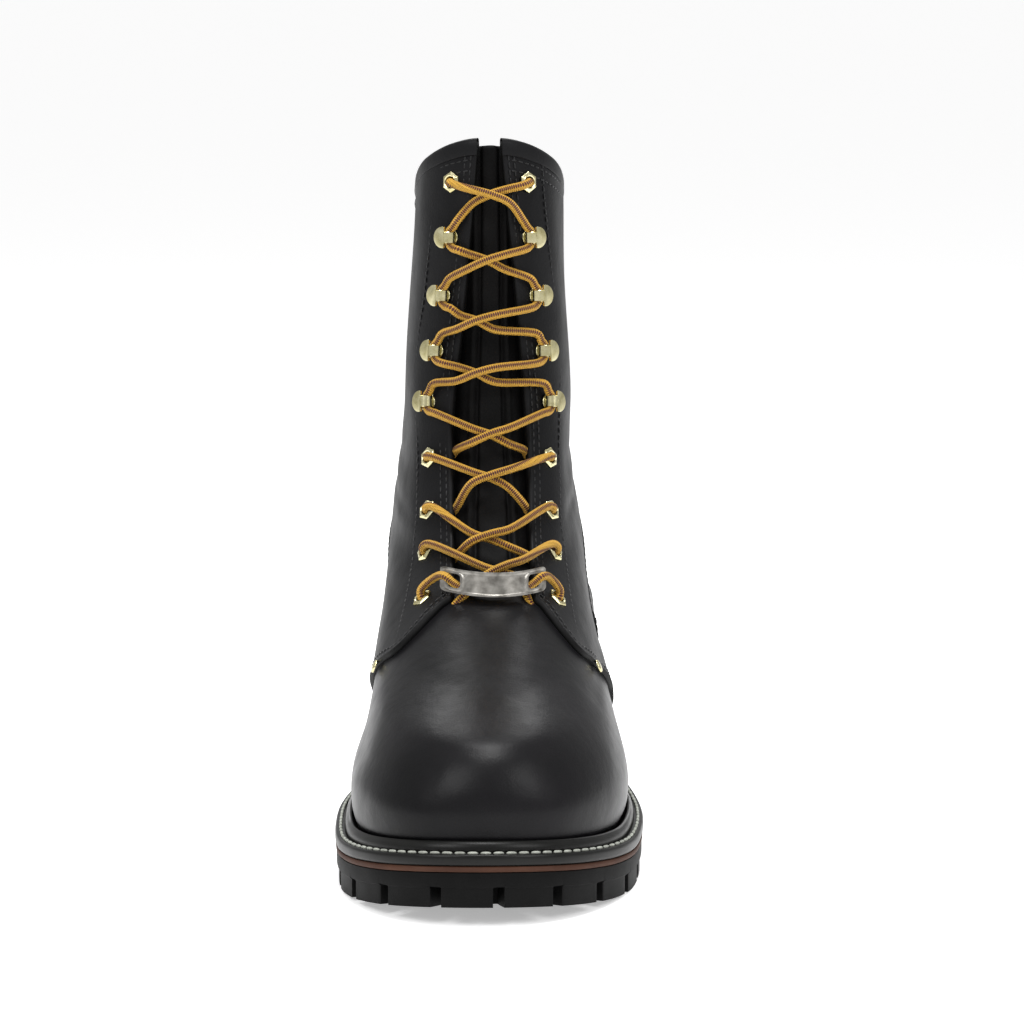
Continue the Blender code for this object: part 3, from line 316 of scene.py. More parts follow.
class Form:
    """The upper's outer face, and frames on it, from the table of sections."""

    def __init__(self) -> None:
        """Reads the tables into arrays."""
        widths = np.array([[row[1] * share for share in (0.0, *row[7], 0.0)] for row in SECTIONS])
        self.widths = np.concatenate([-widths[:, 1:2], widths, -widths[:, 11:12]], axis=1)
        self.ends = np.array([row[2:6] for row in SECTIONS])
        self.half_throats = np.array([row[1] * row[6] for row in SECTIONS])

    def half_width(self, place: Array, degrees: Array) -> Array:
        """Half width of a section at degrees from the front.

        Args:
            place: fractional section numbers.
            degrees: degrees from the front.

        Returns:
            The half widths in metres.
        """
        rows = blend_rows(self.widths, place)
        step = degrees / STEP_DEGREES
        index = np.clip(step.astype(int), 0, 180 // STEP_DEGREES - 1)
        line = np.arange(len(rows))
        return catmull((rows[line, index + k] for k in range(4)), step - index)

    def point(self, place: Array, angle: Array) -> Array:
        """Points on the outer face.

        Args:
            place: fractional section numbers.
            angle: angles round the sections.

        Returns:
            The points, in the shape of the input.
        """
        place, angle = (np.asarray(v, dtype=float) for v in np.broadcast_arrays(place, angle))
        shape = place.shape
        place, angle = place.ravel(), angle.ravel()
        degrees = np.abs(angle)
        ends = blend_rows(self.ends, place)
        front_run, back_run = ends[:, 0] * SOLE_LENGTH, ends[:, 2] * SOLE_LENGTH
        front_z = seat(front_run) + ends[:, 1] * SHAFT_HEIGHT
        back_z = seat(back_run) + ends[:, 3] * SHAFT_HEIGHT
        share = (1 - np.cos(np.radians(degrees))) / 2
        run = front_run + (back_run - front_run) * share
        chord = seat(front_run) + (seat(back_run) - seat(front_run)) * share
        fade = np.clip(1 - place / VAMP_EDGE, 0, None)
        height = front_z + (back_z - front_z) * share + (seat(run) - chord) * fade ** 2
        swing = blend_rows(np.array(SIDE_SWING), degrees / STEP_DEGREES) * fade
        ridge = blend_rows(np.array(RIDGE_SWING), place) * (1 + np.cos(np.radians(degrees))) / 2
        lean = blend_rows(np.array(SIDE_LEAN), place) * np.sin(np.radians(degrees))
        middle = BALL_WIDTH * (swing + ridge + lean - MIDDLE_SHIFT)
        side = np.where(angle < 0, -1.0, 1.0) * self.half_width(place, degrees)
        return np.stack([middle + side, run - SOLE_LENGTH / 2, height], axis=-1).reshape(shape + (3,))

    def frame(self, place: Array, angle: Array) -> tuple[Array, Array]:
        """Outward normals and the ways up the wall.

        Args:
            place: fractional section numbers.
            angle: angles round the sections.

        Returns:
            The normals and the ways up, each of length 1.
        """
        place, angle = (np.asarray(v, dtype=float) for v in np.broadcast_arrays(place, angle))
        low, high = np.clip(place - SLOPE_PLACE, 0, None), np.clip(place + SLOPE_PLACE, None, COLLAR)
        up = self.point(high, angle) - self.point(low, angle)
        held = np.clip(np.abs(angle), POLE_DEGREES, 180 - POLE_DEGREES) * np.where(angle < 0, -1, 1)
        around = self.point(place, held + SLOPE_DEGREES) - self.point(place, held - SLOPE_DEGREES)
        back = np.abs(angle) > 180 - POLE_DEGREES
        level = 0 * angle[back]
        around[back] = np.stack([-np.where(angle[back] < 0, -1.0, 1.0), level, level], axis=-1)
        front = np.abs(angle) < POLE_DEGREES
        around[front] = (1.0, 0.0, 0.0)
        normal = np.cross(around, up)
        normal /= np.linalg.norm(normal, axis=-1, keepdims=True)
        up /= np.linalg.norm(up, axis=-1, keepdims=True)
        return normal, up

    def skin(self, place: Array, angle: Array, lift: Array = 0.0) -> Array:
        """Points that stand off the face by a distance."""
        normal, _ = self.frame(place, angle)
        return self.point(place, angle) + normal * np.asarray(lift)[..., None]

    def angle_at(self, place: Array, half: Array) -> Array:
        """Signed angle at which a section reaches a signed half width near the front.

        Args:
            place: fractional section numbers.
            half: signed half widths.

        Returns:
            The angles.
        """
        place, half = (np.asarray(v, dtype=float) for v in np.broadcast_arrays(place, half))
        shape = place.shape
        place, half = place.ravel(), half.ravel()
        low, high = np.zeros(len(place)), np.full(len(place), WIDEST_DEGREES)
        for _ in range(HALVINGS):
            middle = (low + high) / 2
            under = self.half_width(place, middle) < np.abs(half)
            low, high = np.where(under, middle, low), np.where(under, high, middle)
        return (np.sign(half) * (low + high) / 2).reshape(shape)

    def throat_half(self, place: Array) -> Array:
        """Half width of the throat."""
        return blend_rows(self.half_throats, np.atleast_1d(place).astype(float))

    def throat_angle(self, place: Array) -> Array:
        """Angle of the facing's edge."""
        return self.angle_at(np.atleast_1d(place), self.throat_half(place))

    def place_at(self, side: int, half: float, height: float) -> tuple[float, float]:
        """Place and angle of a point at a half spacing and a height.

        Args:
            side: +1 or -1.
            half: half spacing in metres.
            height: metres above the floor.

        Returns:
            The place and the signed angle.
        """
        low, high = float(LACING_START), float(COLLAR)
        for _ in range(HALVINGS):
            middle = (low + high) / 2
            angle = float(self.angle_at(middle, side * half))
            low, high = (middle, high) if self.point(middle, angle)[2] < height else (low, middle)
        return (low + high) / 2, float(self.angle_at((low + high) / 2, side * half))

    def edge_angle(self, place: Array, outline: Sequence[tuple[float, float]]) -> Array:
        """Angle from which a section lies behind a side outline, on the +X side.

        Args:
            place: fractional section numbers.
            outline: run and height shares.

        Returns:
            The angles, 180 where a section lies wholly in front.
        """
        angles = np.linspace(0.0, 180.0, 361)
        grid = self.point(place[:, None], angles[None, :])
        line = sorted((z * SHAFT_HEIGHT, run * SOLE_LENGTH) for run, z in outline)
        excess = run_of(grid) - monotone(line, grid[..., 2].ravel()).reshape(grid.shape[:2])
        inside = excess > 0
        first = np.argmax(inside, axis=1)
        found = inside.any(axis=1)
        before = np.clip(first - 1, 0, None)
        rows = np.arange(len(place))
        a, b = excess[rows, before], excess[rows, first]
        share = np.where(b - a > 1e-12, -a / np.where(b - a > 1e-12, b - a, 1), 1.0)
        value = angles[before] + (angles[first] - angles[before]) * np.clip(share, 0, 1)
        return np.where(found, np.where(first == 0, 0.0, value), 180.0)


FORM = Form()


class Surface(Enum):
    """Kinds of procedural surface detail."""

    LEATHER = "leather"
    RUBBER = "rubber"
    METAL = "metal"
    BRAID = "braid"
    BOARD = "board"
    THREAD = "thread"
    PLAIN = "plain"


@dataclass(frozen=True)
class Tooth:
    """Noise of an even surface. Each pair is a scale per metre and a detail.

    With no spread, the roughness is the same all over.
    """

    clouds: tuple[float, float]
    patches: tuple[float, float]
    spread: float
    detail: float
    depth: float


TEETH = {
    # Dusty matt rubber
    Surface.RUBBER: Tooth((60.0, 6.0), (140.0, 4.0), 0.07, 4.0, 0.0003),
    # Pressed fibre board
    Surface.BOARD: Tooth((60.0, 6.0), (140.0, 4.0), 0.07, 4.0, 0.0003),
    # Polished plate with faint tarnish and hairline scratches
    Surface.METAL: Tooth((240.0, 5.0), (500.0, 4.0), 0.08, 3.0, 0.0002),
    # Waxed and twisted thread
    Surface.THREAD: Tooth((400.0, 4.0), (0.0, 0.0), 0.0, 2.0, 0.0003),
}
COAT_ROUGHNESS = 0.28
# Braid: how far a rib breaks the stripe, and how deep the strands stand
RIB_BREAK = 0.30
STRAND_SHARE = 0.5
BRAID_DEPTH = 0.0004


@dataclass(frozen=True)
class Finish:
    """One material: the real stuff, its colours and its surface detail."""

    name: str
    color: str
    second: str
    roughness: float
    surface: Surface
    metallic: float = 0.0
    coat: float = 0.0
    specular: float = 0.5
    grain: float = 900.0
    bump: float = 0.15
    glow: float = 0.0
    slot: str = "leather"

    def make(self) -> bpy.types.Material:
        """Builds the node material once and returns it."""
        existing = bpy.data.materials.get(self.name)
        if existing:
            return existing
        material = bpy.data.materials.new(self.name)
        material.use_nodes = True
        tree = material.node_tree
        shader = tree.nodes["Principled BSDF"]
        shader.inputs["Metallic"].default_value = self.metallic
        shader.inputs["Coat Weight"].default_value = self.coat
        shader.inputs["Coat Roughness"].default_value = COAT_ROUGHNESS
        shader.inputs["Specular IOR Level"].default_value = self.specular
        shader.inputs["Emission Color"].default_value = linear(self.color)
        shader.inputs["Emission Strength"].default_value = self.glow
        builders = {Surface.LEATHER: self.leather, Surface.BRAID: self.braid, Surface.PLAIN: self.plain}
        builders.get(self.surface, self.toothed)(tree, shader)
        return material

    def mix(self, tree: bpy.types.NodeTree, shader: bpy.types.Node, factor: bpy.types.NodeSocket,
            low: float = 0.35, high: float = 0.7) -> None:
        """Joins the finish's two colours by a factor, into the base colour.

        Args:
            tree: the material's nodes.
            shader: its shader.
            factor: what blends them.
            low: where the first colour ends.
            high: where the second one starts.
        """
        ramp = node(tree, "ShaderNodeValToRGB", {"Fac": factor})
        ramp.color_ramp.elements[0].position = low
        ramp.color_ramp.elements[0].color = linear(self.color)
        ramp.color_ramp.elements[1].position = high
        ramp.color_ramp.elements[1].color = linear(self.second)
        tree.links.new(ramp.outputs["Color"], shader.inputs["Base Color"])

    def rough(self, tree: bpy.types.NodeTree, shader: bpy.types.Node, factor: bpy.types.NodeSocket,
              spread: float) -> None:
        """Spreads the roughness round its value by a factor.

        Args:
            tree: the material's nodes.
            shader: its shader.
            factor: what varies it.
            spread: how far it goes either way.
        """
        span = node(tree, "ShaderNodeMapRange", {"Value": factor, "To Min": self.roughness - spread,
                                                 "To Max": self.roughness + spread})
        tree.links.new(span.outputs["Result"], shader.inputs["Roughness"])

    def leather(self, tree: bpy.types.NodeTree, shader: bpy.types.Node) -> None:
        """Fine pebbled grain, soft clouds of wear and faint creases.

        Args:
            tree: the material's nodes.
            shader: its shader.
        """
        where = node(tree, "ShaderNodeTexCoord").outputs["Object"]
        clouds, patches, fine, folds = (
            node(tree, "ShaderNodeTexNoise", {"Vector": where, "Scale": scale, "Detail": detail})
            for scale, detail in ((26.0, 4.0), (90.0, 5.0), (2.2 * self.grain, 3.0), (55.0, 3.0)))
        self.mix(tree, shader, clouds.outputs["Fac"])
        self.rough(tree, shader, patches.outputs["Fac"], 0.09)
        pebbles = node(tree, "ShaderNodeTexVoronoi", {"Vector": where, "Scale": self.grain})
        relief = node(tree, "ShaderNodeBump", {"Height": pebbles.outputs["Distance"],
                                               "Strength": self.bump, "Distance": 0.0003})
        for height, strength, depth in ((fine, 0.6 * self.bump, 0.0002), (folds, 0.35, 0.0012)):
            relief = node(tree, "ShaderNodeBump", {
                "Height": height.outputs["Fac"], "Strength": strength, "Distance": depth,
                "Normal": relief.outputs["Normal"]})
        tree.links.new(relief.outputs["Normal"], shader.inputs["Normal"])

    def toothed(self, tree: bpy.types.NodeTree, shader: bpy.types.Node) -> None:
        """Clouds of colour, patches of roughness and a fine tooth.

        Args:
            tree: the material's nodes.
            shader: its shader.
        """
        tooth = TEETH[self.surface]
        where = node(tree, "ShaderNodeTexCoord").outputs["Object"]
        clouds, fine = (
            node(tree, "ShaderNodeTexNoise", {"Vector": where, "Scale": scale, "Detail": detail})
            for scale, detail in (tooth.clouds, (self.grain, tooth.detail)))
        self.mix(tree, shader, clouds.outputs["Fac"])
        if tooth.spread:
            scale, detail = tooth.patches
            patches = node(tree, "ShaderNodeTexNoise", {"Vector": where, "Scale": scale, "Detail": detail})
            self.rough(tree, shader, patches.outputs["Fac"], tooth.spread)
        else:
            shader.inputs["Roughness"].default_value = self.roughness
        relief = node(tree, "ShaderNodeBump", {"Height": fine.outputs["Fac"], "Strength": self.bump,
                                               "Distance": tooth.depth})
        tree.links.new(relief.outputs["Normal"], shader.inputs["Normal"])

    def braid(self, tree: bpy.types.NodeTree, shader: bpy.types.Node) -> None:
        """Round braid: a lengthwise stripe in front and behind, and fine cross ribs.

        U counts pitches along the cord and V goes once round it.
        """
        parts = node(tree, "ShaderNodeSeparateXYZ", {"Vector": node(tree, "ShaderNodeUVMap").outputs["UV"]})
        waves = []
        for wave, way, turns in (("COSINE", "Y", 2), ("SINE", "X", 1), ("SINE", "Y", 8)):
            turned = node(tree, "ShaderNodeMath", {0: parts.outputs[way], 1: 2 * math.pi * turns},
                          operation="MULTIPLY")
            waves.append(node(tree, "ShaderNodeMath", {0: turned.outputs["Value"]}, operation=wave))
        stripe, rib, strands = waves
        broken, weave = (
            node(tree, "ShaderNodeMath", {0: minor.outputs["Value"], 1: share, 2: main.outputs["Value"]},
                 operation="MULTIPLY_ADD").outputs["Value"]
            for main, minor, share in ((stripe, rib, RIB_BREAK), (rib, strands, STRAND_SHARE)))
        level = node(tree, "ShaderNodeMapRange", {"Value": broken, "From Min": 0.85, "From Max": 0.50})
        self.mix(tree, shader, level.outputs["Result"], 0.1, 0.9)
        shader.inputs["Roughness"].default_value = self.roughness
        relief = node(tree, "ShaderNodeBump", {"Height": weave, "Strength": 0.8, "Distance": BRAID_DEPTH})
        tree.links.new(relief.outputs["Normal"], shader.inputs["Normal"])

    def plain(self, tree: bpy.types.NodeTree, shader: bpy.types.Node) -> None:
        """Even paint."""
        shader.inputs["Base Color"].default_value = linear(self.color)
        shader.inputs["Roughness"].default_value = self.roughness


def node(tree: bpy.types.NodeTree, kind: str,
         inputs: dict[str | int, float | bpy.types.NodeSocket] | None = None,
         **settings: str) -> bpy.types.Node:
    """Adds one node with its settings and links.

    Args:
        tree: the material's nodes.
        kind: the node's type.
        inputs: for each socket, by name or number, its value or the output linked to it.
        settings: the node's own settings by name.

    Returns:
        The node.
    """
    made = tree.nodes.new(kind)
    for name, value in settings.items():
        setattr(made, name, value)
    for name, value in (inputs or {}).items():
        if isinstance(value, bpy.types.NodeSocket):
            tree.links.new(value, made.inputs[name])
        else:
            made.inputs[name].default_value = value
    return made


# What the eye sees: smooth black leather, dull, with a soft grey sheen on the folds
SHAFT_LEATHER = Finish("oiled_black_leather", "#0f0f10", "#171718", 0.44, Surface.LEATHER, specular=0.08,
                       grain=1100.0, bump=0.16)
# The vamp and toe are pulled over the last and polished, so they mirror the lights softly
VAMP_LEATHER = Finish("polished_black_leather", "#0c0c0d", "#131214", 0.36, Surface.LEATHER, specular=0.11,
                      grain=1300.0, bump=0.08)
# The tongue is softer and dull; its base colour is darker than the shaft leather's, as painted shade for the
# recess behind the laces
TONGUE_LEATHER = Finish("soft_tongue_leather", "#080808", "#0e0d0d", 0.60, Surface.LEATHER, specular=0.07,
                        grain=900.0, bump=0.2, slot="tongue_leather")
# Inside the shaft: undyed side of the leather, dark grey brown
LINING = Finish("shaft_lining_leather", "#2c2622", "#3a332d", 0.75, Surface.LEATHER, grain=800.0, bump=0.2)
# Cut edges, inked black
EDGE_INK = Finish("inked_leather_edge", "#070707", "#0d0d0d", 0.55, Surface.RUBBER, specular=0.1,
                  grain=2200.0, bump=0.2)
# Black waxed thread, a little lighter than the leather where the light catches it
BLACK_THREAD = Finish("waxed_black_thread", "#111112", "#1c1c1d", 0.40, Surface.THREAD, specular=0.25,
                      grain=2600.0, bump=0.3)
# Off-white waxed welt thread, slightly soiled
WELT_THREAD = Finish("waxed_linen_thread", "#9b9e95", "#73756e", 0.55, Surface.THREAD, grain=2400.0,
                     bump=0.4, slot="welt")
# Black welt, satin on its bead
WELT_RUBBER = Finish("black_welt", "#0c0c0b", "#131312", 0.36, Surface.RUBBER, specular=0.16,
                     grain=1800.0, bump=0.12, slot="welt")
# Brown slip sole between the welt and the tread
SLIP_SOLE = Finish("brown_slip_sole", "#372219", "#452d22", 0.6, Surface.RUBBER, specular=0.1,
                   grain=1600.0, bump=0.25, slot="midsole")
# Dull black tread rubber
TREAD_RUBBER = Finish("black_tread_rubber", "#060606", "#0b0b0b", 0.58, Surface.RUBBER, specular=0.08,
                      grain=1500.0, bump=0.25, slot="rubber")
# Pale brass plate with near white edges
BRASS = Finish("pale_brass", "#d6cfa8", "#b4ab7c", 0.22, Surface.METAL, metallic=1.0, grain=700.0, bump=0.05,
               slot="brass")
# Antique silver, dark in its hollows
SILVER = Finish("antique_silver", "#a19e98", "#5f5c57", 0.33, Surface.METAL, metallic=1.0, grain=600.0,
                bump=0.1, slot="silver")
# Gold and maroon braided cord
LACE_CORD = Finish("braided_lace_cord", "#4a1c13", "#bd8f2c", 0.72, Surface.BRAID, slot="lace")
# Tan insole board deep inside
INSOLE_BOARD = Finish("tan_insole_board", "#9c7a55", "#8a6a48", 0.8, Surface.BOARD, grain=900.0, bump=0.2,
                      slot="insole_board")
# Pale studio floor
FLOOR_PAINT = Finish("pale_studio_floor", "#f6f6f6", "#f6f6f6", 0.9, Surface.PLAIN, glow=0.42)


def link_mesh(name: str, mesh: bpy.types.Mesh, finishes: Sequence[Finish]) -> bpy.types.Object:
    """Makes an object of a mesh, at the origin, with its materials.

    Args:
        name: the object's name.
        mesh: its mesh.
        finishes: one for each slot.

    Returns:
        The new object.
    """
    item = bpy.data.objects.new(name, mesh)
    bpy.context.scene.collection.objects.link(item)
    for finish in finishes:
        mesh.materials.append(finish.make())
    return item


def grid_mesh(name: str, points: Array, closed: bool = False) -> bpy.types.Mesh:
    """Quad mesh over rows and columns of points.

    Args:
        name: the mesh's name.
        points: array of rows, columns and 3 coordinates.
        closed: whether the last column joins the first.

    Returns:
        The mesh, shaded smooth.
    """
    rows, columns = points.shape[:2]
    across = columns if closed else columns - 1
    row, column = np.meshgrid(np.arange(rows - 1), np.arange(across), indexing="ij")
    after = (column + 1) % columns
    faces = np.stack([row * columns + column, row * columns + after,
                      (row + 1) * columns + after, (row + 1) * columns + column], axis=-1).reshape(-1, 4)
    mesh = bpy.data.meshes.new(name)
    mesh.from_pydata(points.reshape(-1, 3).tolist(), [], faces.tolist())
    mesh.update()
    mesh.shade_smooth()
    return mesh


def close_work(work: bmesh.types.BMesh, mesh: bpy.types.Mesh) -> bpy.types.Mesh:
    """Writes edited geometry into a mesh and frees it."""
    work.to_mesh(mesh)
    work.free()
    return mesh


def apply_all(item: bpy.types.Object) -> None:
    """Applies every modifier of an object."""
    bpy.ops.object.select_all(action="DESELECT")
    item.select_set(True)
    bpy.context.view_layer.objects.active = item
    for modifier in list(item.modifiers):
        bpy.ops.object.modifier_apply(modifier=modifier.name)


def add_wall(item: bpy.types.Object, thickness: float, inside: int = 0, rim: int = 0) -> None:
    """Gives a sheet its thickness inwards, with material offsets for the inside and rim.

    Args:
        item: the sheet.
        thickness: metres.
        inside: offset of the inside's slot.
        rim: offset of the rim's slot.
    """
    wall = item.modifiers.new("Wall", "SOLIDIFY")
    wall.thickness = thickness
    wall.offset = -1.0
    wall.use_even_offset = False
    wall.material_offset = inside
    wall.material_offset_rim = rim
    apply_all(item)


def carve(item: bpy.types.Object, grooves: bpy.types.Mesh, crossing: bool = False) -> None:
    """Cuts grooves out of a solid.

    Args:
        item: the solid.
        grooves: the shape to take away.
        crossing: whether the grooves run through each other.
    """
    cutter = link_mesh("cutter", grooves, [])
    cut = item.modifiers.new("Grooves", "BOOLEAN")
    cut.operation, cut.solver, cut.object, cut.use_self = "DIFFERENCE", "EXACT", cutter, crossing
    apply_all(item)
    bpy.data.objects.remove(cutter, do_unlink=True)


def soften(item: bpy.types.Object, width: float, segments: int, degrees: float = 30.0) -> None:
    """Rounds the edges past an angle.

    Args:
        item: the solid.
        width: the bevel's width.
        segments: its steps.
        degrees: the least angle that counts as an edge.
    """
    bevel = item.modifiers.new("Soften", "BEVEL")
    bevel.width, bevel.segments, bevel.limit_method = width, segments, "ANGLE"
    bevel.angle_limit = math.radians(degrees)
    apply_all(item)


def smooth_by_angle(item: bpy.types.Object, degrees: float) -> None:
    """Shades an object smooth, with sharp edges past an angle."""
    item.data.shade_smooth()
    item.data.set_sharp_from_angle(angle=math.radians(degrees))


def resample(points: Array, pitch: float) -> tuple[Array, Array]:
    """Even steps along a polyline.

    Args:
        points: the polyline.
        pitch: the wanted step.

    Returns:
        Middles of the steps and fractional indexes into the polyline.
    """
    lengths = np.linalg.norm(np.diff(points, axis=0), axis=1)
    travelled = np.concatenate([[0.0], np.cumsum(lengths)])
    count = max(int(travelled[-1] / pitch), 1)
    wanted = (np.arange(count) + 0.5) * travelled[-1] / count
    index = np.interp(wanted, travelled, np.arange(len(points)))
    numbers = np.arange(len(points))
    return np.stack([np.interp(index, numbers, points[:, k]) for k in range(3)], axis=-1), index


@dataclass
class Stitching:
    """Collects stitches along seams and makes one mesh of them."""

    name: str
    finish: Finish
    length: float = 0.0024
    radius: float = 0.00034
    pitch: float = 0.0031
    sink: float = 0.0001
    places: list[Matrix] = field(default_factory=list)

    def along(self, points: Array, normals: Array) -> None:
        """Lays a row of stitches on a line with outward normals.

        Args:
            points: the line.
            normals: outward normals on it.
        """
        middles, index = resample(points, self.pitch)
        ways = np.gradient(points, axis=0)
        for middle, at in zip(middles, index):
            low = min(int(at), len(points) - 2)
            way = Vector(ways[low]).normalized()
            normal = Vector(normals[low])
            normal = (normal - way * normal.dot(way)).normalized()
            side = normal.cross(way)
            matrix = Matrix((way, side, normal)).transposed().to_4x4()
            matrix.translation = Vector(middle) - normal * self.sink
            self.places.append(matrix)

    def on_skin(self, place: Array, angle: Array, lift: float) -> None:
        """Lays a row of stitches along places and angles of the upper.

        Args:
            place: fractional section numbers.
            angle: angles.
            lift: metres off the form.
        """
        place, angle = np.broadcast_arrays(np.asarray(place, float), np.asarray(angle, float))
        normal, _ = FORM.frame(place, angle)
        self.along(FORM.point(place, angle) + normal * lift, normal)

    def build(self) -> bpy.types.Object:
        """Joins copies of one rounded stitch."""
        bpy.ops.mesh.primitive_uv_sphere_add(segments=8, ring_count=6, radius=1.0)
        seed = bpy.context.object
        shape = np.array([vert.co[:] for vert in seed.data.vertices])
        faces = np.array([[*face.vertices] + [-1] * (4 - len(face.vertices)) for face in seed.data.polygons])
        bpy.data.objects.remove(seed, do_unlink=True)
        bulk = np.sign(shape) * np.abs(shape) ** 0.75
        local = bulk * (self.length / 2, self.radius, self.radius)
        points, polygons = [], []
        for number, matrix in enumerate(self.places):
            turn = np.array(matrix.to_3x3())
            points.append(local @ turn.T + np.array(matrix.translation))
            start = number * len(local)
            polygons += [[start + v for v in face if v >= 0] for face in faces.tolist()]
        mesh = bpy.data.meshes.new(self.name)
        mesh.from_pydata(np.concatenate(points).tolist(), [], polygons)
        mesh.update()
        mesh.shade_smooth()
        return link_mesh(self.name, mesh, [self.finish])


@dataclass
class Assembly:
    """A group of pieces that ride together."""

    label: str

    def add(self, item: bpy.types.Object, finish: Finish, *nodes: str) -> bpy.types.Object:
        """Lets a piece ride on the boot and the nodes that it stands for.

        Args:
            item: the piece.
            finish: what it is made of; not used.
            nodes: the nodes that it replaces.

        Returns:
            The piece.
        """
        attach(item, "root")
        if nodes:
            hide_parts(*nodes)
        faces = sum(len(face.vertices) - 2 for face in item.data.polygons)
        LOG.info("%s: %s, %d triangles", self.label, item.name, faces)
        return item


# Seams, as (height share, half width share) or distances in metres
OUTER_FACING_LINE = (
    (0.330, 0.500), (0.392, 0.450), (0.452, 0.420), (0.512, 0.400), (0.592, 0.398), (0.680, 0.405),
    (0.764, 0.400), (0.854, 0.363), (0.948, 0.327), (1.036, 0.297), (1.120, 0.285),
)
# The lace's way at an eyelet: metres away from the throat, up the leather and out of it
INTO_EYELET = (
    (-0.0048, -0.0012, 0.0027), (-0.0016, -0.0003, 0.0024), (0.0, 0.0, 0.0006), (0.0, 0.0, -0.0026),
    (-0.0012, 0.0006, -0.0046),
)
OUT_OF_EYELET = ((-0.0006, 0.0, -0.0044), (0.0, 0.0, -0.0026), (0.0, 0.0, 0.0006), (-0.0012, 0.0016, 0.0026))
# Where the two strands cross above each row: share of the way up, and sideways in metres
CROSSINGS = (
    (0.80, 0.0030), (0.58, -0.0012), (0.74, -0.0008), (0.51, 0.0), (0.62, -0.0050), (0.56, -0.0050),
    (0.60, -0.0015), (0.74, 0.0),
)
SEAM_INSETS = (0.0019, 0.0040)
EDGE_FLARE = 0.0010
EDGE_FLARE_REACH = 5.0
UNDERLAP = 7.0
HOLE_RADIUS = 0.0029
TOP_TRIM = 0.030
TOP_DIP = 0.190
# Creases across the ankle: place, spread, depth, and the angles between which they fade in
CREASES = ((9.1, 0.22, 0.0005, 40.0, 70.0), (9.9, 0.20, 0.0004, 50.0, 80.0))
SWAY = 0.0004
FACING_START = 6.6
FLARE_TOP = 8.6
FLARE_FADE = 7.6
VAMP_HOLLOW = 0.0004
ARC_RADII = (0.0046, 0.0064, 0.0082)
COLLAR_SEAM_DROPS = (0.0014, 0.0050)
SEAM_START = 0.9


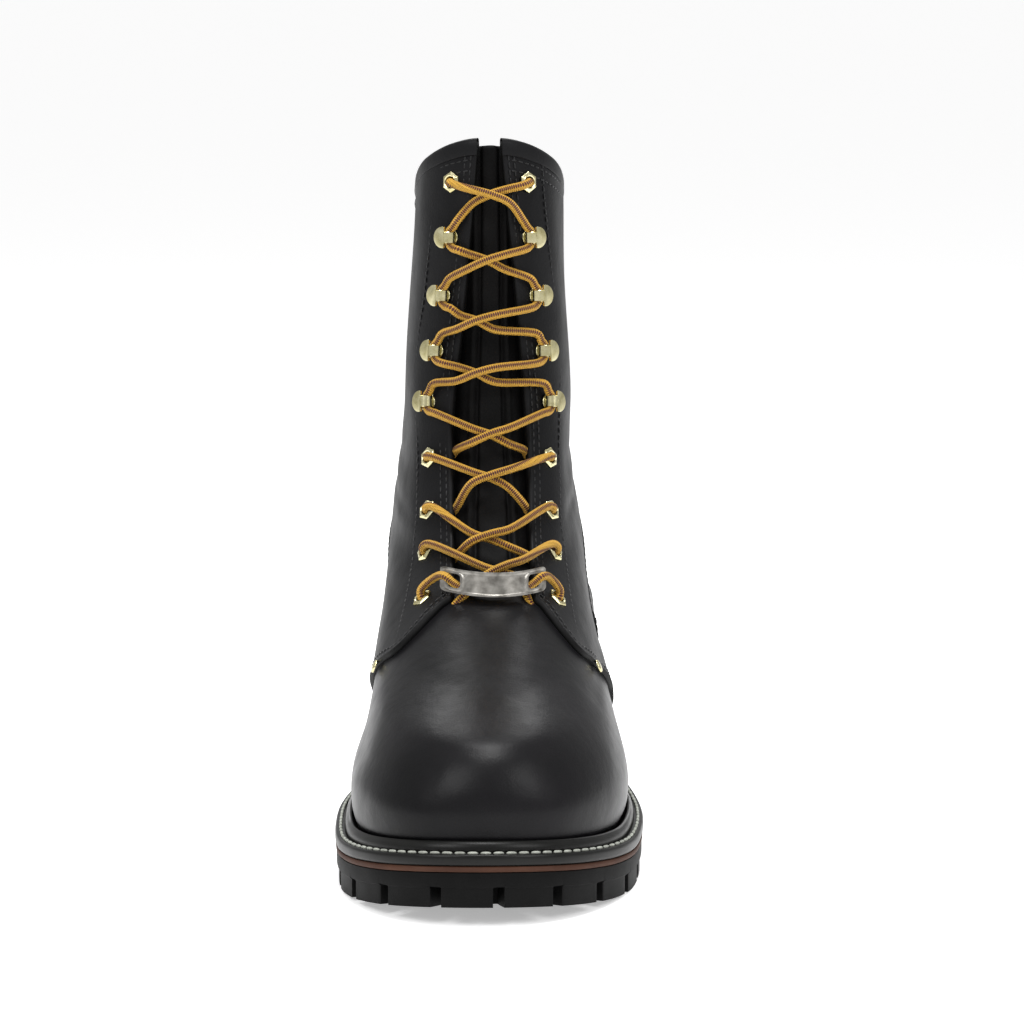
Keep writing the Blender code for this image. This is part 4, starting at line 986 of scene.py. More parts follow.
@dataclass
class Upper(Assembly):
    """Vamp, quarters, counter and collar binding, with their seams."""

    label: str = "upper"
    quarter_rows: int = 190
    quarter_columns: int = 104
    vamp_rows: int = 120
    vamp_columns: int = 190

    def spread_places(self, low: float, high: float, count: int) -> Array:
        """Places that lie evenly along the side of the upper.

        Args:
            low: the first place.
            high: the last one.
            count: how many.

        Returns:
            The places.
        """
        fine = np.linspace(low, high, 400)
        points = FORM.point(fine, np.full(400, 100.0))
        travelled = np.concatenate([[0.0], np.cumsum(np.linalg.norm(np.diff(points, axis=0), axis=1))])
        return np.interp(np.linspace(0.0, travelled[-1], count), travelled, fine)

    def quarter_edge(self, place: Array) -> Array:
        """Angle of the quarter's front edge, or of the facing's edge above it."""
        edge = FORM.edge_angle(place, QUARTER_FRONT)
        return np.maximum(edge, np.where(place > FACING_START, FORM.throat_angle(place), 0.0))

    def ring_angles(self, edge: Array, half_columns: int) -> Array:
        """Angles from the right front edge round the back to the left one.

        Args:
            edge: the front edge's angles.
            half_columns: columns on one side.

        Returns:
            A row of angles for each edge angle.
        """
        share = np.linspace(0.0, 1.0, half_columns)
        right = edge[:, None] + (180.0 - edge[:, None]) * share
        return np.concatenate([right, -right[:, -2::-1]], axis=1)

    def build_quarters(self) -> None:
        """Shaft and sides in one sheet, with its thick front edge and eyelet holes."""
        place = self.spread_places(0.02, COLLAR, self.quarter_rows)
        edge = self.quarter_edge(place)
        angles = self.ring_angles(edge, self.quarter_columns)
        drop = (COLLAR - top_place(angles)) * smoothstep(VAMP_EDGE, COLLAR, place)[:, None]
        places = place[:, None] - drop
        inside = np.abs(angles) - edge[:, None]
        flare = EDGE_FLARE * np.exp(-inside / EDGE_FLARE_REACH) * smoothstep(FLARE_TOP, FLARE_FADE, places)
        flare = np.where(places > FLARE_TOP, 0.0, flare)
        sway = SWAY * np.sin(places * 2.6 + angles * 0.05) * smoothstep(9.0, 11.0, places)
        lift = QUARTER_STEP + flare + sway
        for middle, spread, deep, start, full in CREASES:
            fade = smoothstep(start, full, np.abs(angles))
            lift -= deep * np.exp(-((places - middle) / spread) ** 2) * fade
        points = FORM.skin(places, angles, lift)
        mesh = grid_mesh("quarters", points)
        quarters = link_mesh("quarters", mesh, [SHAFT_LEATHER, LINING, EDGE_INK])
        self.cut_holes(quarters)
        add_wall(quarters, LEATHER + QUARTER_STEP, 1, 2)
        self.add(quarters, SHAFT_LEATHER, "upper")

    def cut_holes(self, item: bpy.types.Object) -> None:
        """Opens the leather under each eyelet's flange.

        Args:
            item: the quarters.
        """
        centres = [FORM.point(*lacing_place(row, side)) for row, line in enumerate(LACING)
                   for side in (-1, 1) if line[2] == "eyelet"]
        work = bmesh.new()
        work.from_mesh(item.data)
        middles = np.array([face.calc_center_median()[:] for face in work.faces])
        near = np.min([np.linalg.norm(middles - centre, axis=1) for centre in centres], axis=0)
        doomed = [face for face, distance in zip(work.faces, near) if distance < HOLE_RADIUS]
        bmesh.ops.delete(work, geom=doomed, context="FACES")
        close_work(work, item.data)

    def build_vamp(self) -> None:
        """Toe and vamp, pulled over the last and tucked under the quarters."""
        place = self.spread_places(0.0, VAMP_EDGE, self.vamp_rows)
        reach = np.minimum(self.quarter_edge(place) + UNDERLAP, 150.0)
        share = np.linspace(-1.0, 1.0, self.vamp_columns)
        angles = reach[:, None] * share
        places = np.repeat(place[:, None], self.vamp_columns, axis=1)
        hollow = smoothstep(6.2, 7.4, places) * np.exp(-((np.abs(angles) - 34.0) / 12.0) ** 2)
        points = FORM.skin(places, angles, -VAMP_HOLLOW * hollow)
        vamp = link_mesh("vamp", grid_mesh("vamp", points), [VAMP_LEATHER, LINING, EDGE_INK])
        add_wall(vamp, LEATHER, 1, 2)
        self.add(vamp, VAMP_LEATHER)

    def counter_top(self) -> float:
        """Place at which the counter ends at the back."""
        place = np.linspace(4.0, 12.0, 400)
        return float(place[np.argmax(FORM.edge_angle(place, COUNTER_FRONT) >= 179.9)])

    def build_counter(self) -> None:
        """Heel counter, a second layer over the quarters."""
        place = self.spread_places(0.05, self.counter_top() - 0.002, 90)
        edge = FORM.edge_angle(place, COUNTER_FRONT)
        angles = self.ring_angles(edge, 60)
        places = np.repeat(place[:, None], angles.shape[1], axis=1)
        points = FORM.skin(places, angles, np.full(places.shape, QUARTER_STEP + COUNTER_STEP))
        counter = link_mesh("counter", grid_mesh("counter", points), [SHAFT_LEATHER, EDGE_INK])
        add_wall(counter, COUNTER_STEP + GAP, 0, 1)
        self.add(counter, SHAFT_LEATHER)

    def build_collar(self) -> None:
        """Narrow binding folded over the top edge."""
        edge = float(FORM.throat_angle(COLLAR)[0])
        angles = self.ring_angles(np.array([edge]), 110)[0]
        band = COLLAR_BAND / np.linalg.norm(FORM.point(COLLAR, 90.0) - FORM.point(COLLAR - 1.0, 90.0))
        outer, inner = QUARTER_STEP + COLLAR_STEP, -LEATHER - COLLAR_STEP
        profile = (
            (-1.00, QUARTER_STEP, 0.0), (-1.00, outer - 0.0002, 0.0), (-0.93, outer, 0.0),
            (-0.10, outer, 0.0), (0.0, outer - 0.0003, 0.0007), (0.0, 0.0008, 0.0013),
            (0.0, -0.0003, 0.0015), (0.0, -0.0014, 0.0013), (0.0, inner + 0.0003, 0.0007),
            (-0.10, inner, 0.0), (-0.93, inner, 0.0), (-1.00, -LEATHER, 0.0),
        )
        rows = []
        for share, lift, rise in profile:
            place = top_place(angles) + share * band
            normal, up = FORM.frame(place, angles)
            rows.append(FORM.point(place, angles) + normal * lift + up * rise)
        mesh = grid_mesh("collar_binding", np.array(rows))
        mesh.flip_normals()
        self.add(link_mesh("collar_binding", mesh, [SHAFT_LEATHER]), SHAFT_LEATHER)

    def build_seams(self) -> None:
        """Rows of black stitches along the edges."""
        seams = Stitching("leather_stitches", BLACK_THREAD)
        for side in (-1, 1):
            self.facing_seams(seams, side)
            self.edge_seams(seams, side)
            self.rivet_arcs(seams, side)
        place = np.full(60, VAMP_EDGE - 0.13)
        throat = float(FORM.throat_angle(VAMP_EDGE)[0])
        seams.on_skin(place, np.linspace(-throat, throat, 60), 0.0)
        self.collar_seams(seams)
        self.add(seams.build(), BLACK_THREAD)

    def facing_seams(self, seams: Stitching, side: int) -> None:
        """Two rows beside the facing's edge and one outside the eyelets.

        Args:
            seams: where the stitches go.
            side: +1 or -1.
        """
        place = np.linspace(VAMP_EDGE + 0.1, COLLAR - TOP_TRIM - 0.14, 220)
        for inset in SEAM_INSETS:
            half = FORM.throat_half(place) + inset
            seams.on_skin(place, side * FORM.angle_at(place, half), QUARTER_STEP)
        height, half = np.array(OUTER_FACING_LINE).T
        wanted = np.linspace(height[0], height[-1], 90)
        halves = monotone(OUTER_FACING_LINE, wanted)
        spots = [FORM.place_at(side, h * SHAFT_WIDTH, z * SHAFT_HEIGHT) for z, h in zip(wanted, halves)]
        spots = np.array([spot for spot in spots if spot[0] < COLLAR - TOP_TRIM - 0.18])
        seams.on_skin(spots[:, 0], spots[:, 1], QUARTER_STEP)

    def edge_seams(self, seams: Stitching, side: int) -> None:
        """Rows inside the quarter's front edge and the counter's edge.

        Args:
            seams: where the stitches go.
            side: +1 or -1.
        """
        place = np.linspace(SEAM_START, VAMP_EDGE, 160)
        edge = self.quarter_edge(place)
        for inset in SEAM_INSETS:
            self.inset_row(seams, side, place, edge, inset, QUARTER_STEP + 0.6 * EDGE_FLARE)
        place = np.linspace(SEAM_START, self.counter_top() - 0.06, 160)
        edge = FORM.edge_angle(place, COUNTER_FRONT)
        for inset in SEAM_INSETS:
            self.inset_row(seams, side, place, edge, inset, QUARTER_STEP + COUNTER_STEP)

    def inset_row(self, seams: Stitching, side: int, place: Array, edge: Array, inset: float,
                  lift: float) -> None:
        """Lays a row at a distance inside an edge, square to it.

        Args:
            seams: where the stitches go.
            side: +1 or -1.
            place: places on the edge.
            edge: its angles.
            inset: metres inside it.
            lift: metres off the form.
        """
        points = FORM.point(place, side * edge)
        normal, _ = FORM.frame(place, side * edge)
        way = np.gradient(points, axis=0)
        way /= np.linalg.norm(way, axis=1, keepdims=True)
        inward = np.cross(way, normal)
        inward *= np.sign(inward[:, 1:2] + 1e-9)
        seams.along(points + inward * inset + normal * lift, normal)

    def rivet_arcs(self, seams: Stitching, side: int) -> None:
        """Curved rows that bar the quarter's front corner round the rivet.

        Args:
            seams: where the stitches go.
            side: +1 or -1.
        """
        centre, angle = rivet_spot(side)
        here = FORM.point(centre, angle)
        rise = np.linalg.norm(FORM.point(centre + 0.5, angle) - here) / 0.5
        turn_length = np.linalg.norm(FORM.point(centre, angle + 2.0) - here) / 2.0
        for radius in ARC_RADII:
            turn = np.radians(np.linspace(10, 120, 24))
            seams.on_skin(centre + radius * np.sin(turn) / rise,
                          angle + side * radius * np.cos(turn) / turn_length, QUARTER_STEP)

    def collar_seams(self, seams: Stitching) -> None:
        """Two rows under the collar binding.

        Args:
            seams: where the stitches go.
        """
        length = np.linalg.norm(FORM.point(COLLAR, 90.0) - FORM.point(COLLAR - 1.0, 90.0))
        for drop in COLLAR_SEAM_DROPS:
            edge = float(FORM.throat_angle(COLLAR)[0]) + 5.0
            angles = self.ring_angles(np.array([edge]), 120)[0]
            seams.on_skin(top_place(angles) - (COLLAR_BAND + drop) / length, angles, QUARTER_STEP)

    def build(self) -> None:
        """Builds the whole upper."""
        self.build_vamp()
        self.build_quarters()
        self.build_counter()
        self.build_collar()
        self.build_seams()


def top_place(angle: Array) -> Array:
    """Place at which the shaft ends: highest at the facings, lower at the sides and back."""
    return COLLAR - TOP_TRIM - TOP_DIP * smoothstep(8.0, 75.0, np.abs(angle))


def lacing_place(row: int, side: int) -> tuple[float, float]:
    """Place and angle of a lacing row's fitting."""
    half, height, _ = LACING[row]
    return FORM.place_at(side, half * SHAFT_WIDTH, height * SHAFT_HEIGHT)


def fitting_matrix(place: float, angle: float, lift: float) -> Matrix:
    """Frame on the upper: X away from the throat, Z out of the leather.

    Args:
        place: fractional section number.
        angle: signed angle.
        lift: metres off the form.

    Returns:
        The frame.
    """
    normals, ups = FORM.frame(np.array([place]), np.array([angle]))
    normal, up = Vector(normals[0]), Vector(ups[0])
    out = up.cross(normal).normalized()
    if out.x * angle < 0:
        out = -out
    matrix = Matrix((out, normal.cross(out), normal)).transposed().to_4x4()
    matrix.translation = Vector(FORM.point(place, angle)) + normal * lift
    return matrix


def rivet_spot(side: int) -> tuple[float, float]:
    """Place and angle of a rivet at the quarter's front corner.

    Args:
        side: +1 or -1.

    Returns:
        The nearest place and angle on a grid.
    """
    target = np.array([RIVET_PLACE[0] * SOLE_LENGTH - SOLE_LENGTH / 2, RIVET_PLACE[1] * SHAFT_HEIGHT])
    place, angle = np.meshgrid(np.arange(60, 180) / 20, np.arange(30, 100, 2.0), indexing="ij")
    points = FORM.point(place, side * angle)
    best = np.argmin(np.linalg.norm(points[..., 1:] - target, axis=-1))
    return float(place.flat[best]), float(side * angle.flat[best])


def rivet_matrix(side: int) -> Matrix:
    """Frame of a rivet on the quarter."""
    return fitting_matrix(*rivet_spot(side), QUARTER_STEP + RIVET_GAP + RIVET_HEIGHT / 2)


@dataclass
class Tongue(Assembly):
    """Tongue with its folded gussets, behind the throat."""

    label: str = "tongue"
    half_width: float = 0.027
    root: float = 7.72
    top: float = 0.08
    fold_place: float = 0.0058
    fold_depth: float = 0.0016
    fold_spread: float = 0.0028
    fold_end: float = 12.5
    sink: float = 0.0030
    puff: float = 0.0006

    def build(self) -> None:
        """One soft sheet, tucked under the vamp and pleated at both sides."""
        rows, columns = 170, 90
        place = np.linspace(self.root, COLLAR - self.top, rows)
        half = min(self.half_width, 0.43 * SHAFT_WIDTH)
        across = np.linspace(-half, half, columns)
        places = np.repeat(place[:, None], columns, axis=1)
        halves = np.repeat(across[None, :], rows, axis=0)
        angles = FORM.angle_at(places, halves)
        depth = LEATHER + 3 * GAP + self.sink * smoothstep(8.05, 8.95, places)
        fold = self.fold_place + self.fold_spread * smoothstep(self.fold_end, 9.0, places)
        fold = np.where(places > self.fold_end, self.fold_place, fold)
        free = smoothstep(8.2, 9.0, places)
        pleat = np.exp(-((np.abs(halves) - fold) / 0.0011) ** 2)
        puff = np.exp(-((np.abs(halves) - fold - 0.0026) / 0.0014) ** 2)
        wave = np.sin(places * 9.0 + halves * 300.0) * 0.00018 + np.sin(places * 4.1) * 0.00022
        lift = -depth - self.fold_depth * pleat * free + self.puff * puff * free + wave * free
        points = FORM.skin(places, angles, lift)
        tongue = link_mesh("tongue_leather_sheet", grid_mesh("tongue_sheet", points), [TONGUE_LEATHER])
        add_wall(tongue, TONGUE_THICKNESS)
        self.add(tongue, TONGUE_LEATHER, "tongue")


class Reach(Enum):
    """What an outline's distance counts from."""

    FEATHER = "feather"
    WELT = "welt"


def sole_outline(degrees: Array, side: Array, reach: Reach, distance: Array) -> Array:
    """Points at a distance outside the upper's lower edge, seen from above.

    Args:
        degrees: angles from the toe, 0 to 180.
        side: +1 or -1 for each.
        reach: what the distance counts from.
        distance: metres outwards.

    Returns:
        Points whose height is the feather edge's.
    """
    degrees, side = np.broadcast_arrays(np.asarray(degrees, float), np.asarray(side, float))
    small = 0.5
    here = FORM.point(np.zeros(degrees.shape), side * np.maximum(degrees, 1e-6))
    held = np.clip(degrees, small, 180 - small)
    across = (FORM.point(np.zeros(degrees.shape), side * (held + small))
              - FORM.point(np.zeros(degrees.shape), side * (held - small + 1e-6)))
    across[degrees < small] = np.stack([side, 0 * side, 0 * side], axis=-1)[degrees < small]
    end = degrees > 180 - small
    across[end] = np.stack([-side, 0 * side, 0 * side], axis=-1)[end]
    outward = np.stack([across[..., 1] * side, -across[..., 0] * side, 0 * side], axis=-1)
    outward /= np.linalg.norm(outward, axis=-1, keepdims=True)
    welt = WELT_REACH_FRONT + (WELT_REACH_BACK - WELT_REACH_FRONT) * waist_share(here)
    total = welt + distance if reach is Reach.WELT else distance + 0 * welt
    return here + outward * total[..., None]


def waist_share(points: Array) -> Array:
    """0 along the forefoot, 1 along the heel, and in between at the waist."""
    return np.clip((run_of(points) / SOLE_LENGTH - WAIST_START) / WAIST_LENGTH, 0, 1)


def all_round(angle: Array) -> tuple[Array, Array]:
    """Degrees from the toe and the side, for angles that go once round the foot."""
    return np.where(angle <= 180, angle, 360 - angle), np.where(angle <= 180, 1.0, -1.0)


def inward_way(outer: Array, inner: Array) -> Vector:
    """Level direction from an edge point to one inside it.

    Args:
        outer: the edge point.
        inner: the one inside it.

    Returns:
        The direction.
    """
    way = Vector(inner - outer)
    way.z = 0
    return way.normalized()


def at_height(points: Array, height: Callable[[Array], Array]) -> Array:
    """Points moved to a height that depends on the run."""
    moved = points.copy()
    moved[..., 2] = height(run_of(points))
    return moved


def outsole_thickness(run: Array) -> Array:
    """Thickness of the outsole along the foot."""
    points = ((0.0, FOREFOOT_OUTSOLE), (0.40, FOREFOOT_OUTSOLE), (0.465, 0.77 * FOREFOOT_OUTSOLE),
              (0.53, SHANK_OUTSOLE + 0.001), (0.58, SHANK_OUTSOLE), (1.0, SHANK_OUTSOLE))
    return monotone(points, np.asarray(run) / SOLE_LENGTH)


def outsole_top(run: Array) -> Array:
    """Height of the outsole's upper face."""
    return seat(run) - WELT_THICKNESS - MIDSOLE_THICKNESS - 2 * GAP


def tread(run: Array) -> Array:
    """Height of the outsole's underside."""
    return np.maximum(outsole_top(run) - outsole_thickness(run), 0.0)


def lug_top(run: Array) -> Array:
    """Height at which the grooves end."""
    return tread(run) + LUG_HEIGHT


def degrees_at_run(run: float, distance: float) -> float:
    """Angle at which the welt's outline passes a distance behind the toe.

    Args:
        run: metres behind the toe tip.
        distance: metres outside the welt.

    Returns:
        Degrees from the toe.
    """
    low, high = 0.0, 180.0
    for _ in range(EDGE_HALVINGS):
        middle = (low + high) / 2
        ahead = run_of(sole_outline(np.array([middle]), np.array([1.0]), Reach.WELT, distance))[0] < run
        low, high = (middle, high) if ahead else (low, middle)
    return (low + high) / 2


def slab(name: str, levels: Sequence[Array], finish: Finish, sharp: float = SHARP_RUBBER) -> bpy.types.Object:
    """Closed solid between outlines given as left and right edges, top level first.

    Args:
        name: the object's name.
        levels: arrays of stations, 2 sides and 3 coordinates.
        finish: its material.
        sharp: angle past which an edge is sharp.

    Returns:
        The new object.
    """
    count = len(levels[0])
    loops = [np.concatenate([level[:, 1], level[::-1, 0]]) for level in levels]
    size = 2 * count
    work = bmesh.new()
    verts = [[work.verts.new(point) for point in loop] for loop in loops]
    for upper, lower in zip(verts, verts[1:]):
        for i in range(size):
            j = (i + 1) % size
            work.faces.new((upper[i], upper[j], lower[j], lower[i]))
    for row in (verts[0], verts[-1]):
        for i in range(count - 1):
            work.faces.new((row[i], row[i + 1], row[size - 2 - i], row[size - 1 - i]))
    bmesh.ops.remove_doubles(work, verts=work.verts, dist=0.00001)
    bmesh.ops.recalc_face_normals(work, faces=work.faces)
    item = link_mesh(name, close_work(work, bpy.data.meshes.new(name)), [finish])
    smooth_by_angle(item, sharp)
    return item


def side_pairs(reach: Reach, distance: float, count: int = 150, first: float = 0.0) -> Array:
    """Left and right edge points from an angle to the heel.

    Args:
        reach: what the distance counts from.
        distance: metres outwards.
        count: how many pairs.
        first: the first angle.

    Returns:
        The pairs, left then right.
    """
    degrees = np.linspace(first, 180.0, count)
    left = sole_outline(degrees, np.full(count, -1.0), reach, distance)
    right = sole_outline(degrees, np.full(count, 1.0), reach, distance)
    return np.stack([left, right], axis=1)


@dataclass
class Sole(Assembly):
    """Welt with its bead and stitches, slip sole, lugged outsole, heel and insole."""

    label: str = "sole"
    stations: int = 360

    def build_welt(self) -> None:
        """Storm welt: a bead against the upper, a stitched land and a squared edge."""
        angle = 360.0 * np.arange(self.stations) / self.stations
        degrees, side = all_round(angle)
        wall = FORM.point(np.zeros(len(angle)), side * np.maximum(degrees, 1e-6))
        outer = sole_outline(degrees, side, Reach.FEATHER, 1.0) - wall
        outer[:, 2] = 0
        outer /= np.linalg.norm(outer, axis=1, keepdims=True)
        above = FORM.point(np.full(len(angle), 0.7), side * np.maximum(degrees, 1e-6))
        lean = np.clip(np.sum((above - wall) * outer, axis=1), 0, None)
        inner = -LEATHER - 0.0005
        rise, wide = BEAD_HEIGHT, BEAD_WIDTH
        land = [(-0.0012, 0.0, 1), (-0.0004, -0.0001, 1), (0.0, -0.0005, 1), (0.0003, -0.0014, 1),
                (0.0003, -0.0030, 1), (0.0, -0.0039, 1), (-0.0005, -WELT_THICKNESS, 1),
                (inner, -WELT_THICKNESS, 0)]
        bead = [(inner, 0.0, 0), (0.0, 0.3 * rise, 0), (0.0002, 0.80 * rise, 2),
                (0.0006, 0.95 * rise, 2), (0.0014, 1.02 * rise, 2), (0.55 * wide + 0.0006, 0.98 * rise, 0),
                (0.82 * wide, 0.82 * rise, 0), (0.98 * wide, 0.56 * rise, 0), (1.03 * wide, 0.30 * rise, 0),
                (1.02 * wide, 0.10 * rise, 0), (1.04 * wide, -0.0003, 0), (1.12 * wide, -0.0004, 0)]
        rows = []
        for distance, height, kind in bead + land:
            reach = Reach.WELT if kind == 1 else Reach.FEATHER
            extra = lean if kind == 2 else 0 * lean
            rows.append(at_height(sole_outline(degrees, side, reach, distance + extra),
                                  lambda run, height=height: seat(run) + height))
        rows.append(rows[0])
        mesh = grid_mesh("welt_ring", np.array(rows), closed=True)
        mesh.flip_normals()
        self.add(link_mesh("welt_strip", mesh, [WELT_RUBBER]), WELT_RUBBER, "welt")

    def build_welt_stitches(self) -> None:
        """Chunky pale stitches in the middle of the welt's land."""
        seam = Stitching("welt_stitches", WELT_THREAD, 0.0040, 0.00062, 0.0047, 0.0)
        angle = np.linspace(0.0, 360.0, 721)
        degrees, side = all_round(angle)
        share = waist_share(sole_outline(degrees, side, Reach.WELT, 0.0))
        inset = WELT_STITCH_INSET - (WELT_STITCH_INSET - WELT_STITCH_INSET_BACK) * share
        line = at_height(sole_outline(degrees, side, Reach.WELT, -inset), lambda run: seat(run) + GAP)
        seam.along(line, np.repeat(np.array([[0.0, 0.0, 1.0]]), len(line), axis=0))
        self.add(seam.build(), WELT_THREAD)

    def build_midsole(self) -> None:
        """Thin brown layer under the welt."""
        top, low = -WELT_THICKNESS - GAP / 2, -WELT_THICKNESS - GAP - MIDSOLE_THICKNESS
        levels = [at_height(side_pairs(Reach.WELT, distance), lambda run, height=height: seat(run) + height)
                  for distance, height in ((-0.0004, top), (0.0, top - 0.0003), (0.0, low + 0.0003),
                                           (-0.0004, low))]
        self.add(slab("slip_sole", levels, SLIP_SOLE, 60.0), SLIP_SOLE, "midsole")

    def build_outsole(self) -> None:
        """Lugged outsole: a loft cut by grooves, with softened edges."""
        edge, inset = side_pairs(Reach.WELT, -GAP), side_pairs(Reach.WELT, -GAP - LUG_STEP)
        band = 1 - LUG_HEIGHT / FOREFOOT_OUTSOLE
        levels = [
            at_height(edge, outsole_top),
            at_height(edge, lambda run: outsole_top(run) - band * outsole_thickness(run)),
            at_height(inset, lambda run: outsole_top(run) - (band + 0.05) * outsole_thickness(run)),
            at_height(inset, tread),
        ]
        outsole = slab("lugged_outsole", levels, TREAD_RUBBER)
        carve(outsole, self.groove_mesh(), crossing=True)
        soften(outsole, LUG_ROUNDING, 2, SHARP_RUBBER)
        smooth_by_angle(outsole, SHARP_RUBBER)
        self.add(outsole, TREAD_RUBBER, "outsole")

    def groove_mesh(self) -> bpy.types.Mesh:
        """Grooves between the lugs, as one cutter."""
        work = bmesh.new()
        stop = degrees_at_run(0.45 * SOLE_LENGTH, -GAP)
        for side in (-1, 1):
            self.edge_grooves(work, side, stop)
        for share in (0.155, 0.230, 0.305, 0.380):
            run = share * SOLE_LENGTH
            value = degrees_at_run(run, -GAP)
            inner = -GAP - LUG_LENGTH - 0.5 * LUG_GROOVE
            ends = sole_outline(np.array([value, value]), np.array([-1.0, 1.0]), Reach.WELT, inner)
            centre = Vector(((ends[0, 0] + ends[1, 0]) / 2, run - SOLE_LENGTH / 2, 0))
            groove_box(work, centre, Vector((1, 0, 0)), ends[1, 0] - ends[0, 0], float(lug_top(run)))
        run = 0.455 * SOLE_LENGTH
        groove_box(work, Vector((0, run - SOLE_LENGTH / 2, 0)), Vector((1, 0, 0)), 1.4 * BALL_WIDTH,
                   float(lug_top(run)))
        self.inner_groove(work, stop)
        bmesh.ops.recalc_face_normals(work, faces=work.faces)
        return close_work(work, bpy.data.meshes.new("grooves"))

    def edge_grooves(self, work: bmesh.types.BMesh, side: int, stop: float) -> None:
        """Grooves square to the edge on one side, one each pitch from the toe tip.

        Args:
            work: the cutter.
            side: +1 or -1.
            stop: the last angle.
        """
        degrees = stop * np.arange(361) / 360
        sides = np.full(361, float(side))
        edge = sole_outline(degrees, sides, Reach.WELT, -GAP)
        inner = sole_outline(degrees, sides, Reach.WELT, -GAP - 0.01)
        steps = np.linalg.norm(np.diff(edge[:, :2], axis=0), axis=1)
        travelled = np.concatenate([[0.0], np.cumsum(steps)])
        wanted = LUG_START if side == 1 else LUG_PITCH - LUG_START
        while wanted <= travelled[-1]:
            index = int(np.argmax(travelled >= wanted))
            inward = inward_way(edge[index], inner[index])
            centre = Vector(edge[index]) + inward * (LUG_LENGTH / 2 - 0.003)
            groove_box(work, centre, inward, LUG_LENGTH + 0.006, float(lug_top(run_of(edge[index]))))
            wanted += LUG_PITCH

    def inner_groove(self, work: bmesh.types.BMesh, stop: float) -> None:
        """Groove that follows the edge behind the outer lugs.

        Args:
            work: the cutter.
            stop: the angle at which it ends.
        """
        value = np.linspace(-stop, stop, 67)
        side = np.where(value < 0, -1.0, 1.0)
        outer = sole_outline(np.abs(value), side, Reach.WELT, -GAP - LUG_LENGTH)
        inner = sole_outline(np.abs(value), side, Reach.WELT, -GAP - LUG_LENGTH - LUG_GROOVE)
        top = lug_top(run_of(outer))
        rings = [[work.verts.new((point[0], point[1], z)) for point, z in
                  ((far, high), (near, high), (near, -GROOVE_DEPTH), (far, -GROOVE_DEPTH))]
                 for far, near, high in zip(outer, inner, top)]
        for before, after in zip(rings, rings[1:]):
            for i in range(4):
                j = (i + 1) % 4
                work.faces.new((before[i], after[i], after[j], before[j]))
        work.faces.new(rings[0])
        work.faces.new(rings[-1])

    def heel_level(self, share: float, first: float, height: Callable[[Array], Array]) -> Array:
        """Heel outline at a share of its height: 1 under the outsole, 0 at the floor.

        Args:
            share: share of the height.
            first: the breast's angle.
            height: height for each run.

        Returns:
            Left and right points.
        """
        breast, back = HEEL_BREAST - SOLE_LENGTH / 2, SOLE_LENGTH / 2
        pairs = side_pairs(Reach.WELT, -0.0006, 90, first)
        front_half = (pairs[0, 1, 0] - pairs[0, 0, 0]) / 2
        drop = 1 - share
        pairs[..., 1] = breast + (pairs[..., 1] - breast) * (1 - drop * HEEL_TAPER_BACK / (back - breast))
        pairs[0, :, 1] = breast
        pairs[..., 0] *= 1 - drop * HEEL_TAPER_SIDE / front_half
        return at_height(pairs, height)

    def build_heel(self) -> None:
        """Underslung heel and its rubber top lift."""
        first = degrees_at_run(HEEL_BREAST, -0.0006)
        top_share = HEEL_LIFT / (float(seat(SOLE_LENGTH)) - FOREFOOT_STACK + HEEL_LIFT)
        shares = np.linspace(1.0, top_share, 6)
        levels = []
        for share in shares:
            mix = (share - top_share) / (1 - top_share)
            levels.append(self.heel_level(share, first, lambda run, mix=mix: HEEL_LIFT + GAP / 2
                                          + (tread(run) - GAP / 2 - HEEL_LIFT - GAP / 2) * mix))
        self.add(slab("heel_block", levels, TREAD_RUBBER), TREAD_RUBBER, "heel")
        lift = [self.heel_level(top_share, first, lambda run: HEEL_LIFT + 0 * run),
                self.heel_level(0.1 * top_share, first, lambda run: 0.0006 + 0 * run),
                self.heel_level(0.0, first, lambda run: 0 * run)]
        item = slab("heel_top_lift", lift, TREAD_RUBBER)
        carve(item, self.heel_groove_mesh())
        smooth_by_angle(item, SHARP_RUBBER)
        self.add(item, TREAD_RUBBER, "heel_lift")

    def heel_groove_mesh(self) -> bpy.types.Mesh:
        """Grooves in the top lift."""
        work = bmesh.new()
        reach = -HEEL_TAPER_SIDE - 0.001
        start = degrees_at_run(HEEL_BREAST + 0.012, reach)
        for side in (-1.0, 1.0):
            for step in range(3):
                degrees = np.array([start + (172 - start) * step / 2.4])
                here, inner = (sole_outline(degrees, np.array([side]), Reach.WELT, distance)[0]
                               for distance in (reach, reach - 0.01))
                inward = inward_way(here, inner)
                groove_box(work, Vector(here) + inward * 0.006, inward, 0.026, 0.6 * HEEL_LIFT)
        bmesh.ops.recalc_face_normals(work, faces=work.faces)
        return close_work(work, bpy.data.meshes.new("heel_grooves"))

    def build(self) -> None:
        """Builds every layer and finishes the insole."""
        self.build_outsole()
        self.build_heel()
        self.build_midsole()
        self.build_welt()
        self.build_welt_stitches()
        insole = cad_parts["insole"]
        insole.material_slots[0].material = INSOLE_BOARD.make()
        LOG.info("%s: insole board refinished", self.label)


def groove_box(work: bmesh.types.BMesh, centre: Vector, direction: Vector, length: float, top: float) -> None:
    """Adds one groove of the tread: an upright box that reaches below the floor.

    Args:
        work: the cutter.
        centre: its middle.
        direction: the way it runs.
        length: metres.
        top: its upper face.
    """
    made = bmesh.ops.create_cube(work, size=1.0)
    depth = top + GROOVE_DEPTH
    turn = Matrix.Rotation(math.atan2(direction.y, direction.x), 4, "Z")
    place = Matrix.Translation((centre.x, centre.y, top - depth / 2))
    size = Matrix.Diagonal((length, LUG_GROOVE, depth, 1.0))
    bmesh.ops.transform(work, verts=made["verts"], matrix=place @ turn @ size)


